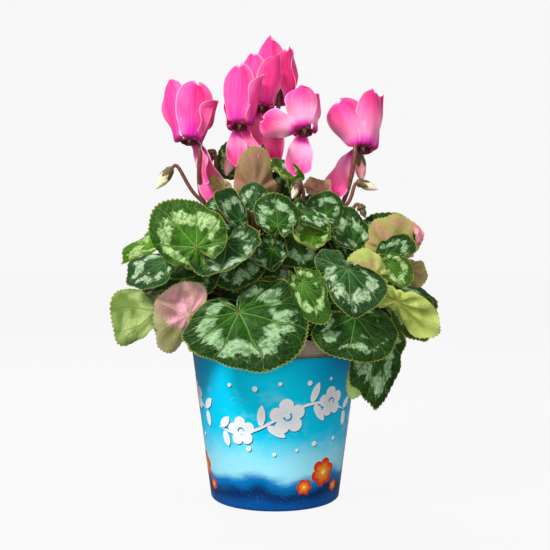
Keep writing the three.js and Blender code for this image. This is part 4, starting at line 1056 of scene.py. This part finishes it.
def flower_frame(faces):
    axis = -facing(*faces)
    ahead = unit(np.array([0, -1.0, 0]) + axis * axis[1])
    right = unit(np.cross(axis, ahead))
    if right[0] < 0:
        right = -right
    return axis, lambda angle: ahead * math.cos(math.radians(angle)) + right * math.sin(math.radians(angle))


def petal_width(t):
    foot, widest = PETAL["foot"], PETAL["widest"]
    if t < widest:
        return foot + (1 - foot) * math.sin(math.pi / 2 * t / widest)
    return math.sqrt(1 - 0.98 * ((t - widest) / (1 - widest)) ** 2.2)


def add_petal(piece, mouth, axis, out, row, seed, pale, looks):
    """A cupped petal that leaves the mouth, turns to its heading, and has a crease, ribs and a wavy margin."""
    place, lean, length, width, curl, turn, *aside = row
    aside = out(90) * math.tan(math.radians(aside[0] if aside else 0))
    outward = out(place)
    side = np.cross(axis, outward)
    rows, columns = PETAL["rows"], PETAL["columns"]
    spot = mouth + outward * PETAL["seat"] + axis
    middle, data, half_thick = [], [], []
    curl = math.radians(curl)
    shares = np.linspace(-1, 1, columns + 1)
    cupped = -1 if lean > 90 else 1
    if np.cross(side, axis).dot(outward) > 0:
        cupped = -cupped
    front_turn = PETAL_TO_FRONT * math.sin(math.radians(place)) * (math.cos(math.radians(place)) > -0.3) * (lean < 60)
    for i in range(rows + 1):
        t = i / rows
        heading = math.radians(PETAL["first"] + (lean - PETAL["first"]) * smooth(t / PETAL["flare"]))
        along = unit(axis * math.cos(heading) + outward * math.sin(heading) + aside * smooth(t * 3))
        across = unit(side - along * side.dot(along))
        across = turned_about(across, along, math.radians(turn * t + front_turn * smooth(t * 1.3)))
        inward = np.cross(across, along) * cupped
        half = width / 2 * petal_width(t) * PETAL_FULLER["up" if lean < 90 else "down"]
        radius = half / curl
        for share in shares:
            swing = math.sin(2 * math.pi * (1.7 * t + 0.37 * seed + 0.3 * share))
            wave = 1.9 * abs(share) ** 2.4 * swing * smooth(t * 3)
            wave += 0.7 * math.sin(2.2 * share + 5 * t + seed) * smooth(t * 2)
            crease = -0.5 * math.exp(-((share / 0.16) ** 2)) * math.sin(math.pi * min(1, t * 1.05))
            rib = 0.12 * math.cos(share * 26) * math.sin(math.pi * t)
            uneven = 0.035 * length * t**4 * math.sin(2.6 * share + 2.1 * seed)
            point = spot + across * radius * math.sin(curl * share) + along * uneven
            point = point + inward * (radius * (1 - math.cos(curl * share)) + wave + crease + rib)
            middle.append(point)
            data.append((t, share, 0))
            half_thick.append(PETAL["half"] * (1 - 0.5 * share**4) * (1 - 0.4 * t**4))
        spot = spot + along * length / rows
    line = columns + 1
    middle, faces = np.array(middle), np.array(grid_faces(rows + 1, line))
    normals = point_normals(middle, faces)
    mid = rows // 2 * line + columns // 2
    outside_up = normals[mid].dot(outward) > 0
    add_sheet(piece, middle, faces, grid_border(rows + 1, line), half_thick, looks if outside_up else looks[::-1],
              np.array(data), (seed, pale, 0))


def add_tube_of_bloom(piece, mouth, axis, ring, throat, style):
    length, wide, neck, wall = TUBE["length"], TUBE["mouth"], TUBE["neck"], TUBE["wall"]

    def lobed(radius, angle, height):
        lobes = 0.35 * math.cos(5 * angle) * max(0.0, 1 - height / 3)
        return radius + (lobes if radius > neck - wall else 0), height

    outside = [(0, length), (neck * 0.7, length), (neck, length - 0.6), (neck + 0.5, length * 0.62),
               (wide - 0.7, length * 0.25), (wide - 0.1, 0.9), (wide + 0.1, 0.2), (wide - 0.3, -0.35),
               (wide - 0.9, -0.2), (wide - wall, 0.5)]
    inside = [(wide - wall - 0.7, 2.4), (neck - wall + 0.3, length - 3), (neck - wall, length - wall),
              (0, length - wall)]
    profile = outside + inside
    looks = [ring] * (len(outside) - 4) + [throat] * (len(profile) - 1 - (len(outside) - 4))
    lathe(piece, profile[::-1], 40, mouth, axis, shape=lobed, looks=looks[::-1])
    lathe(piece, [(0, -0.4), (0.7, 0.4), (1.5, 2.2), (2.0, 4.6), (1.6, length - wall + 0.2), (0, length - wall + 0.3)],
          15, mouth, axis, look=style, shape=lambda r, a, h: (r * (1 + 0.25 * math.cos(5 * a)), h))
    add_tube(piece, [mouth + axis * 1.5, mouth - axis * 0.4, mouth - axis * 1.5], [0.4, 0.38, 0.3], 8, style)


def add_calyx(piece, point, direction, body_radius, length, look):
    """A cap on the stalk with five sepals that lie on the flower or the bud."""
    direction = unit(direction)
    lathe(piece, [(0, -0.5), (2.6, -0.4), (3.5, 0.2), (3.75, 1.0), (3.1, 2.4), (2.1, 3.6), (1.7, CALYX_LENGTH + 0.4),
                  (0, CALYX_LENGTH + 0.5)], 25, point, direction, look=look,
          shape=lambda r, a, h: (r * (1 + 0.06 * math.cos(5 * a)), h))
    side = side_of(direction)
    other = np.cross(direction, side)
    rows, columns = 9, 5
    for lobe in range(5):
        middle = []
        for i in range(rows):
            t = i / (rows - 1)
            down = t * length - 1.2
            spread = body_radius(max(0.0, down)) + 0.45 - 0.15 * t
            half = 0.62 * (1 - t**1.6) * (1 + 0.3 * t) + 0.02
            for c in range(columns):
                a = 2 * math.pi * lobe / 5 + half * (2 * c / (columns - 1) - 1)
                middle.append(point - direction * down + spread * (math.cos(a) * side + math.sin(a) * other))
        add_sheet(piece, middle, grid_faces(rows, columns), grid_border(rows, columns), 0.18, (look, look),
                  (0.5, 0.5, 0))


def bud_profile(radius, s):
    return radius * (1 - s) ** 0.9 * (0.7 + 1.9 * s)


def add_bud(piece, top, tip, lift, look):
    """A pointed bud with its petals rolled round one another."""
    down = np.array(tip, float) - top
    length = np.linalg.norm(down)
    down = down / length
    radius = min(BUD_RADIUS, length * 0.26)
    steps = 30
    profile = [(0, 0)] + [(bud_profile(radius, s), s * length) for s in np.linspace(0, 0.985, steps)] + [(0, length)]

    def rolled(r, angle, height):
        s = height / length
        wrap = (5 * (angle - 2.0 * s) / (2 * math.pi)) % 1
        return r * (0.95 + 0.13 * wrap * math.sin(math.pi * min(1, 0.12 + s))), height

    lathe(piece, profile, 50, np.asarray(top, float) + down * lift, down, look=look, shape=rolled)


# Each family: the outer face, then a deeper, redder copy of it that is painted shade for the inner face. The last
# colour of each is the deep pink of the painted shade bands.
PETALS = {
    "pink": (
        petal_face("petal_outer", (150, 0, 84), (210, 16, 166), (252, 62, 150), (255, 132, 194), (248, 18, 104)),
        petal_face("petal_inner", (140, 0, 70), (216, 4, 124), (248, 10, 98), (252, 74, 152), (238, 0, 80)),
    ),
    "salmon": (
        petal_face("petal_salmon_outer", (160, 10, 60), (232, 80, 116), (252, 146, 150),
                   (255, 190, 188), (246, 110, 124)),
        petal_face("petal_salmon_inner", (150, 4, 50), (228, 56, 96), (248, 106, 120),
                   (255, 164, 164), (236, 76, 96)),
    ),
}
RING = plain("mouth_ring", 0.45, (150, 6, 108), (190, 24, 150), 0.8, 3)
THROAT = plain("throat", 0.6, (70, 4, 34), (110, 10, 54), 0.8, 3)
STYLE = plain("style", 0.6, (196, 160, 110), (150, 96, 70), 1.2, 3)

flower_rows = [(row[4], row) for row in BLOOMS] + [(row[4], row) for row in BUDS]
flower_roots = spread_roots([np.array(path[-1], float) for path, _ in flower_rows], 0, 180, ROOT["flower_rings"])
stalks = Piece()
lathe(stalks, KNOB, 30, shape=lambda r, a, h: (r * (1 + 0.05 * math.sin(7 * a)), h))
for (path, row), root in zip(flower_rows, flower_roots):
    if len(row) == 6:
        name, mouth, faces, stalk_side, _, _ = row
        mouth = np.array(mouth, float)
        axis, out = flower_frame(faces)
        side = out(stalk_side)
        cap = TUBE["length"] + CLEAR
        points = [root] + [np.array(p, float) for p in path[::-1]]
        points += [mouth + side * WIDE_HOOKS.get(name, HOOK["side"]) * s + axis * a for s, a in (
            (1, -HOOK["below"]), (1, HOOK["above"] - 7), (0.75, HOOK["above"]), (0.25, HOOK["above"] + 2),
            (0, cap + CALYX_LENGTH - 1))]
        line = catmull(points, 9)
        radii = np.interp(np.linspace(0, 1, len(line)), [0, 0.03, 0.8, 1], [2.4, 1.95, 1.75, 1.6])
        add_tube(stalks, line, radii, 14, 0)
        add_calyx(stalks, mouth + axis * cap, axis,
                  lambda d: TUBE["neck"] + 0.4 + (TUBE["mouth"] - TUBE["neck"]) * d / TUBE["length"], 5.4, 1)
    else:
        name, top, tip, arch, _ = row
        top, tip = np.array(top, float), np.array(tip, float)
        rear = unit(top - tip)
        line = catmull([root] + [np.array(p, float) for p in path[::-1]] + [np.array(arch, float), top + rear * 3], 10)
        radii = np.interp(np.linspace(0, 1, len(line)), [0, 0.03, 0.8, 1], [2.2, 1.6, 1.45, 1.35])
        add_tube(stalks, line, radii, 12, 0)
        span = np.linalg.norm(tip - top)
        full = min(BUD_RADIUS, span * 0.26)
        add_calyx(stalks, top, rear, lambda d, f=full, s=span: bud_profile(f, min(0.9, d / s)), 3.4 + span * 0.32, 1)
        if name is None:
            add_bud(stalks, top, tip, -1, 1)
stalks.make("stalks_of_flowers", [FLOWER_STALK, SEPAL], "stalk", "flower_stalks")

# How pale the foot of a bloom's petals is
PALE_FEET = {"bloom_centre_right": 0.6, "bloom_right": 0.4, "bloom_low_right": 0.3}
for i, (name, mouth, faces, _, _, petals) in enumerate(BLOOMS):
    piece = Piece()
    mouth = np.array(mouth, float)
    axis, out = flower_frame(faces)
    add_tube_of_bloom(piece, mouth, axis, 2, 3, 4)
    pale = PALE_FEET.get(name, 0.0)
    for j, row in enumerate(petals):
        light = max(pale, 0.3) if row[1] > 90 else pale
        # Painted shade: standing and hanging petals carry the deeper copy on opposite faces.
        add_petal(piece, mouth, axis, out, row, i * 5.3 + j * 1.9, light, (1, 0) if row[1] > 90 else (0, 1))
    family = PETALS["salmon" if name == "bloom_low_right" else "pink"]
    piece.make("flower" + name[5:], [*family, RING, THROAT, STYLE], "petal", name)

BUD_COLOURS = {
    "bud_left": ((196, 176, 128), (246, 234, 190), (255, 248, 222)),
    "bud_top_left": ((206, 140, 138), (252, 184, 190), (255, 214, 216)),
    "bud_pink_left": ((214, 140, 138), (255, 178, 190), (255, 210, 216)),
    "bud_middle": ((180, 140, 120), (246, 206, 184), (252, 240, 222)),
    "bud_right": ((190, 160, 124), (248, 228, 190), (255, 244, 222)),
    "bud_salmon": ((212, 132, 128), (255, 170, 176), (255, 204, 198)),
}
for name, top, tip, _, _ in BUDS:
    if name:
        piece = Piece()
        add_bud(piece, np.array(top, float), tip, CLEAR, 0)
        piece.make("rolled_" + name, [bud_material(name + "_petals", *BUD_COLOURS[name])], "bud", name)

# Pots, soil and tuber


def cover_radius(h):
    """The cover pot's outer radius at a height."""
    return foot + (rim - foot) * (h - corner) / (height - corner)


piece = Piece()
rim, foot, height, wall, floor, corner = (COVER[k] for k in ("rim", "foot", "height", "wall", "floor", "round"))
outside = [(0, 0.6), (foot - 9, 0.6), (foot - 8, 0), (foot - corner, 0), (foot - corner * 0.55, 0.35),
           (foot - corner * 0.25, 1.0), (foot - 0.15, 1.9), (foot, corner)]
outside += [(cover_radius(h), h) for h in np.linspace(corner + 4, height - 3, 24)]
lip = [(rim, height - 0.5), (rim - 0.3, height), (rim - wall + 0.3, height), (rim - wall, height - 0.5)]
inside = [(rim - wall - 7, height - 55), (foot - wall, floor + 1), (foot - wall - 1, floor), (0, floor)]
profile = outside + lip + inside
lathe(piece, profile, POT_SIDES["cover"], looks=[0] * (len(outside) + 1) + [1] * (len(profile) - 2 - len(outside)))
LINER = plain("cover_inside", 0.35, (224, 230, 234), (236, 240, 242), 0.2, 3, bump=0.1)
piece.make("printed_cover", [pot_print(), LINER], "cover_pot", "cover_pot")

piece = Piece()
top = COVER["floor"] + NURSERY["height"]
shoulder = top - NURSERY["collar_height"]
bottom = COVER["floor"] + NURSERY["floor"]
rim_n, collar, foot_n, wall_n = NURSERY["rim"], NURSERY["collar"], NURSERY["foot"], NURSERY["wall"]
profile = [
    (0, COVER["floor"]), (foot_n, COVER["floor"]), (collar, shoulder), (rim_n - 1, shoulder), (rim_n - 0.3, top - 1.4),
    (rim_n, top - 1.2), (rim_n, top), (rim_n - wall_n, top), (rim_n - wall_n - 1, shoulder + wall_n),
    (collar - wall_n, shoulder), (foot_n - wall_n, bottom), (0, bottom),
]
lathe(piece, rounded(profile), POT_SIDES["nursery"],
      shape=lambda r, a, h: (r + (0.25 * max(0.0, math.cos(24 * a)) ** 6 if r > collar and h < top - 2 else 0), h))
piece.make("brown_nursery_pot", [TAUPE], "nursery_pot", "nursery_pot")

piece = Piece()
inset = wall_n + CLEAR
surface = [(55.0, SOIL_TOP - 1), (51, SOIL_TOP - 0.4), (46, SOIL_TOP + 0.5), (41, SOIL_TOP + 1.4), (36, SOIL_TOP + 2),
           (31, SOIL_TOP + 1), (26, SOIL_TOP - 0.5)]


def crumbly(r, a, h):
    if h < SOIL_TOP - 2:
        return r, h
    bumps = math.sin(7 * a + r) + math.sin(13 * a - r * 0.7) + math.sin(23 * a + r * 1.3)
    return r, h + 0.35 * bumps


lathe(piece, [(0, bottom), (foot_n - inset, bottom), (collar - inset, shoulder), (collar - inset, SOIL_TOP - 3)]
      + surface + SOCKET, POT_SIDES["soil"], shape=crumbly)
# The corners and faces of an icosahedron, which each crumb is a stretched and uneven copy of
corners = np.array([point for a in (-1, 1) for b in (-1.618, 1.618) for point in ((0, a, b), (a, b, 0), (b, 0, a))])
hull = [(i, j, k) for i in range(12) for j in range(12) for k in range(12)
        if i < j < k and max(np.linalg.norm(corners[i] - corners[j]), np.linalg.norm(corners[j] - corners[k]),
                             np.linalg.norm(corners[i] - corners[k])) < 2.1]
hull = [(i, j, k) if np.cross(corners[j] - corners[i], corners[k] - corners[i]).dot(corners[i]) > 0 else (i, k, j)
        for i, j, k in hull]
for _ in range(CRUMBS):
    angle, distance = rng.uniform(0, 2 * math.pi), 28 + 25.5 * math.sqrt(rng.uniform())
    size = rng.uniform(0.5, 1.7)
    stretch = rng.uniform(0.5, 1.2, 3)
    wobble = 1 + rng.uniform(-0.25, 0.25, (12, 1))
    level = np.interp(distance, [26, 36, 46, 55], [SOIL_TOP, SOIL_TOP + 2, SOIL_TOP + 0.5, SOIL_TOP - 1])
    centre = [distance * math.sin(angle), -distance * math.cos(angle), level + size * 0.15]
    piece.add(corners / 1.9 * size * stretch * wobble + centre, hull)
piece.make("soil_mix", [EARTH], "soil", "soil")

piece = Piece()
lathe(piece, TUBER, POT_SIDES["tuber"],
      shape=lambda r, a, h: (r * (1 + 0.02 * math.sin(5 * a + h * 0.2) + 0.012 * math.sin(13 * a - h * 0.5)), h))
piece.make("corky_tuber", [CORK], "tuber", "tuber")


# The print on the cover pot: sprays of white leaves and blossoms, and warm orange blossoms lower down


def on_pot(angle, h, lift):
    """A place on the cover pot's side, as far out from it as lift says."""
    r = cover_radius(h) + lift
    return np.stack([r * np.sin(angle), -r * np.cos(angle), h], -1)


def turned_out(points, faces):
    """Faces of which the first one looks away from the pot's axis."""
    a, b, c = points[faces[0]]
    return faces if np.cross(b - a, c - a).dot(a * [1, 1, 0]) >= 0 else faces[:, ::-1]


def add_patch(piece, angle, h, outline, hole=0.0, turn=0.0, rings=5, look=0, lift=PRINT_LIFT):
    """A printed shape laid on the pot: outline(a) gives its edge at an angle from its middle, in millimetres."""
    count = 60
    a = np.linspace(0, 2 * np.pi, count, endpoint=False)
    edge = outline(a)
    grid, data = [], []
    shares = np.linspace(0, 1, rings + 1)
    for share in shares if hole else shares[1:]:
        out = hole + (edge - hole) * share
        grid.append(np.stack([out * np.cos(a + turn), out * np.sin(a + turn)], -1))
        data.append(np.tile([share, 0, 0], (count, 1)))
    flat = np.concatenate(grid)
    data = np.concatenate(data)
    rows = len(grid)
    faces = np.array(grid_faces(rows, count, True))
    if not hole:
        flat = np.concatenate([flat, [[0, 0]]])
        data = np.concatenate([data, [[0, 0, 0]]])
        k = np.arange(count)
        faces = np.concatenate([faces, np.stack([(k + 1) % count, k, np.full(count, rows * count)], -1)])
    radius = cover_radius(h)
    angles, heights = angle + flat[:, 0] / radius, h + flat[:, 1]
    above, below = on_pot(angles, heights, lift), on_pot(angles, heights, PRINT_SINK)
    n = len(flat)
    faces = turned_out(above, faces)
    edges = [((rows - 1) * count + np.arange(count), 1)] + ([(np.arange(count), -1)] if hole else [])
    walls = []
    for ids, way in edges:
        following = np.roll(ids, -1)
        mid = above[ids].mean(0)
        first = (np.stack([ids, following, ids + n], -1), np.stack([following, following + n, ids + n], -1))
        sample = first[0][0]
        both = np.concatenate([above, below])
        side_normal = np.cross(both[sample[1]] - both[sample[0]], both[sample[2]] - both[sample[0]])
        good = side_normal.dot(both[sample[0]] - mid) * way > 0
        walls += [w if good else w[:, ::-1] for w in first]
    piece.add(np.concatenate([above, below]), np.concatenate([faces, faces[:, ::-1] + n, *walls]), look,
              np.concatenate([data, data]))


def blossom(size, petals=5, depth=0.34):
    return lambda a: size * (1 - depth + depth * np.abs(np.cos(petals * a / 2)) ** 0.7)


def leaflet(length, width):
    """A pointed leaf shape round its middle."""
    def edge(a):
        oval = 1 / np.sqrt((np.cos(a) / (length / 2)) ** 2 + (np.sin(a) / (width / 2)) ** 2)
        return oval * (1 + 0.16 * np.exp(-((np.abs(np.sin(a)) / 0.14) ** 2)) * (np.cos(a) > 0))

    return edge


def add_vine(piece, start_angle, end_angle, level, width, lift):
    """A printed stem: level(angle) gives its height."""
    count = 60
    angles = np.linspace(start_angle, end_angle, count)
    heights = np.array([level(a) for a in angles])
    slope = np.gradient(heights, angles * PRINT_RADIUS)
    stretch = np.sqrt(1 + slope**2)
    taper = width / 2 * np.clip(np.minimum(np.linspace(0, 1, count), np.linspace(1, 0, count)) * 8, 0.15, 1)
    rows = [(angles - way * taper * slope / stretch / PRINT_RADIUS, heights + way * taper / stretch) for way in (-1, 1)]
    edges = [on_pot(a, h, out) for out in (lift, PRINT_SINK) for a, h in rows]
    ring = np.stack([edges[0], edges[1], edges[3], edges[2]], 1).reshape(-1, 3)
    faces = grid_faces(count, 4, True) + [(0, 2, 1), (0, 3, 2)]
    end = (count - 1) * 4
    faces += [(end, end + 1, end + 2), (end, end + 2, end + 3)]
    piece.add(ring, turned_out(ring, np.array(faces)), 0, (0.9, 0.5, 0))


white = Piece()
shades = Piece()
SPRAYS = 3
SHADE_SHIFT = (0.7, -0.8)
# Along a spray, from -1 to 1: blossoms with size and shift, leaves with their side, dots with height and size
SPRAY_BLOSSOMS = [(-0.62, 11.5, 1.5), (0.02, 14, -2.5), (0.66, 12, 2.0)]
SPRAY_LEAVES = [(-0.97, 1), (-0.9, -1), (-0.34, 1), (-0.27, -1), (0.33, 1), (0.37, -1), (0.93, 1), (0.97, -1)]
SPRAY_DOTS = [
    (-0.75, 99, 1.6), (-0.4, 97, 2.1), (-0.08, 101, 1.5), (0.3, 101, 2.0), (0.78, 55, 1.6), (0.42, 53, 2.0),
    (-0.52, 50, 2.1), (-0.16, 46, 1.5), (0.16, 49, 1.3), (0.62, 103, 1.4),
]
# Beside each other low on the pot: angle, height, size, turn
ORANGE_BLOSSOMS = [(0.0, 29, 11.5, 0.3), (-0.31, 19, 6.5, 0.9), (0.26, 16, 5, 0.5)]


def stamp(angle, h, outline, lift=PRINT_LIFT, **options):
    """A white shape with its soft printed shade, a little lower to the right."""
    add_patch(white, angle, h, outline, lift=lift, **options)
    add_patch(shades, angle + SHADE_SHIFT[0] / PRINT_RADIUS, h + SHADE_SHIFT[1], outline, lift=SHADE_LIFT, **options)


def disc(size):
    return lambda a: size + a * 0


for spray in range(SPRAYS):
    middle = math.radians(8) + spray * 2 * math.pi / SPRAYS
    half = math.radians(54)

    def level(angle, middle=middle, half=half):
        share = (angle - middle) / half
        return 74 + 9 * math.sin(share * 3.1 + 0.4) + 5 * share

    for dent, (target, lift) in enumerate(((white, VINE_LIFT), (shades, VINE_SHADE_LIFT))):
        shift = SHADE_SHIFT[0] / PRINT_RADIUS * dent
        add_vine(target, middle - half + shift, middle + half + shift,
                 lambda a, d=dent, s=shift: level(a - s) + SHADE_SHIFT[1] * d, 2.2, lift)
    for share, size, shift in SPRAY_BLOSSOMS:
        angle = middle + half * share
        stamp(angle, level(angle) + shift, blossom(size), BLOSSOM_LIFT, hole=size * 0.26, turn=share * 2 + 0.4)
        stamp(angle, level(angle) + shift, disc(size * 0.15), rings=2)
    for share, way in SPRAY_LEAVES:
        angle = middle + half * share
        here = level(angle)
        slope = math.atan2(level(angle + 0.02) - level(angle - 0.02), 0.04 * PRINT_RADIUS)
        turn = slope + way * 1.05
        length = 15 if abs(share) < 0.5 else 11.5
        out = length * 0.6
        stamp(angle + math.cos(turn) * out / PRINT_RADIUS, here + math.sin(turn) * out, leaflet(length, 6.4), turn=turn)
    for share, h, size in SPRAY_DOTS:
        stamp(middle + half * share, h, disc(size), rings=2)
white.make("white_print", [print_material("print_white", (255, 255, 255), (244, 248, 250))], "cover_pot")
shades.make("print_shade", [print_material("print_blue_shade", (6, 96, 150), (6, 96, 150))], "cover_pot")

orange = Piece()
for spray in range(SPRAYS):
    angle = math.radians(42) + spray * 2 * math.pi / SPRAYS
    for shift, h, size, turn in ORANGE_BLOSSOMS:
        add_patch(orange, angle + shift, h, blossom(size, 6, 0.26), hole=size * 0.2, turn=turn)
        add_patch(orange, angle + shift, h, disc(size * 0.2), rings=2, look=1)
orange.make("orange_print", [
    print_material("print_orange", (222, 44, 10), (252, 150, 30)),
    print_material("print_yellow", (255, 214, 90), (255, 240, 170)),
], "cover_pot")

# Stage, light and camera

FLOOR_HALF = 6
FLOOR_COLOUR = (0.02, 0.02, 0.02, 1)
# How bright the floor glows towards everything, and how much more where the camera sees it
FLOOR_GLOW, FLOOR_SEEN = 0.22, 0.696
BACKDROP_GLOW = 0.935
ROOM_COLOUR, ROOM_GLOW = (0.96, 0.98, 1, 1), 0.12
WHITE = (1, 1, 1, 1)
# Each light: name, place, what it looks at, size in metres, watts
LIGHTS = [
    ("key", (-0.7, -0.8, 1.05), (0, 0, 0.2), 0.3, 18.5),
    ("fill", (0.95, -0.7, 0.6), (0, 0, 0.2), 0.7, 3.4),
    ("front", (-0.1, -1.5, 0.15), (0, 0, 0.06), 0.7, 10.4),
    ("top", (0.1, 0.35, 1.15), (0, 0, 0.25), 0.6, 6),
    ("back", (-0.5, 1.1, 0.9), (0, 0, 0.2), 0.7, 6),
]
CAMERA = {"lens": 64.15, "sensor": 36, "place": (0, -0.8, 0.207), "tilt": math.radians(88.15)}

STAGE = Nodes("stage_paper", 0.9)
STAGE.shader.inputs["Base Color"].default_value = FLOOR_COLOUR
STAGE.shader.inputs["Emission Color"].default_value = WHITE
STAGE.shader.inputs["Specular IOR Level"].default_value = 0.1
seen = STAGE.tree.nodes.new("ShaderNodeLightPath")
glow = Value(STAGE, seen.outputs["Is Camera Ray"]) * FLOOR_SEEN + FLOOR_GLOW
STAGE.put(glow, STAGE.shader.inputs["Emission Strength"])
mesh = bpy.data.meshes.new("floor")
floor_corners = [(x * FLOOR_HALF, y * FLOOR_HALF, 0) for x, y in ((-1, -1), (1, -1), (1, 1), (-1, 1))]
mesh.from_pydata(floor_corners, [], [(0, 1, 2, 3)])
mesh.materials.append(STAGE.material)
placed("floor", mesh)

scene = bpy.context.scene
world = bpy.data.worlds.new("studio")
scene.world = world
world.use_nodes = True
tree = world.node_tree
background = tree.nodes["Background"]
background.inputs["Color"].default_value = WHITE
background.inputs["Strength"].default_value = BACKDROP_GLOW
dim = tree.nodes.new("ShaderNodeBackground")
dim.inputs["Color"].default_value = ROOM_COLOUR
dim.inputs["Strength"].default_value = ROOM_GLOW
ray = tree.nodes.new("ShaderNodeLightPath")
blend = tree.nodes.new("ShaderNodeMixShader")
tree.links.new(ray.outputs["Is Camera Ray"], blend.inputs[0])
tree.links.new(dim.outputs[0], blend.inputs[1])
tree.links.new(background.outputs[0], blend.inputs[2])
tree.links.new(blend.outputs[0], tree.nodes["World Output"].inputs["Surface"])

for name, spot, aim, size, watts in LIGHTS:
    light = bpy.data.lights.new(name, "AREA")
    light.energy = watts
    light.size = size
    obj = placed(name, light)
    obj.location = spot
    obj.rotation_euler = (Vector(aim) - Vector(spot)).to_track_quat("-Z", "Y").to_euler()

camera = bpy.data.cameras.new("camera")
camera.lens = CAMERA["lens"]
camera.sensor_width = CAMERA["sensor"]
camera_obj = placed("camera", camera)
camera_obj.location = CAMERA["place"]
camera_obj.rotation_euler = (CAMERA["tilt"], 0, 0)
scene.camera = camera_obj
scene.view_settings.view_transform = "Standard"
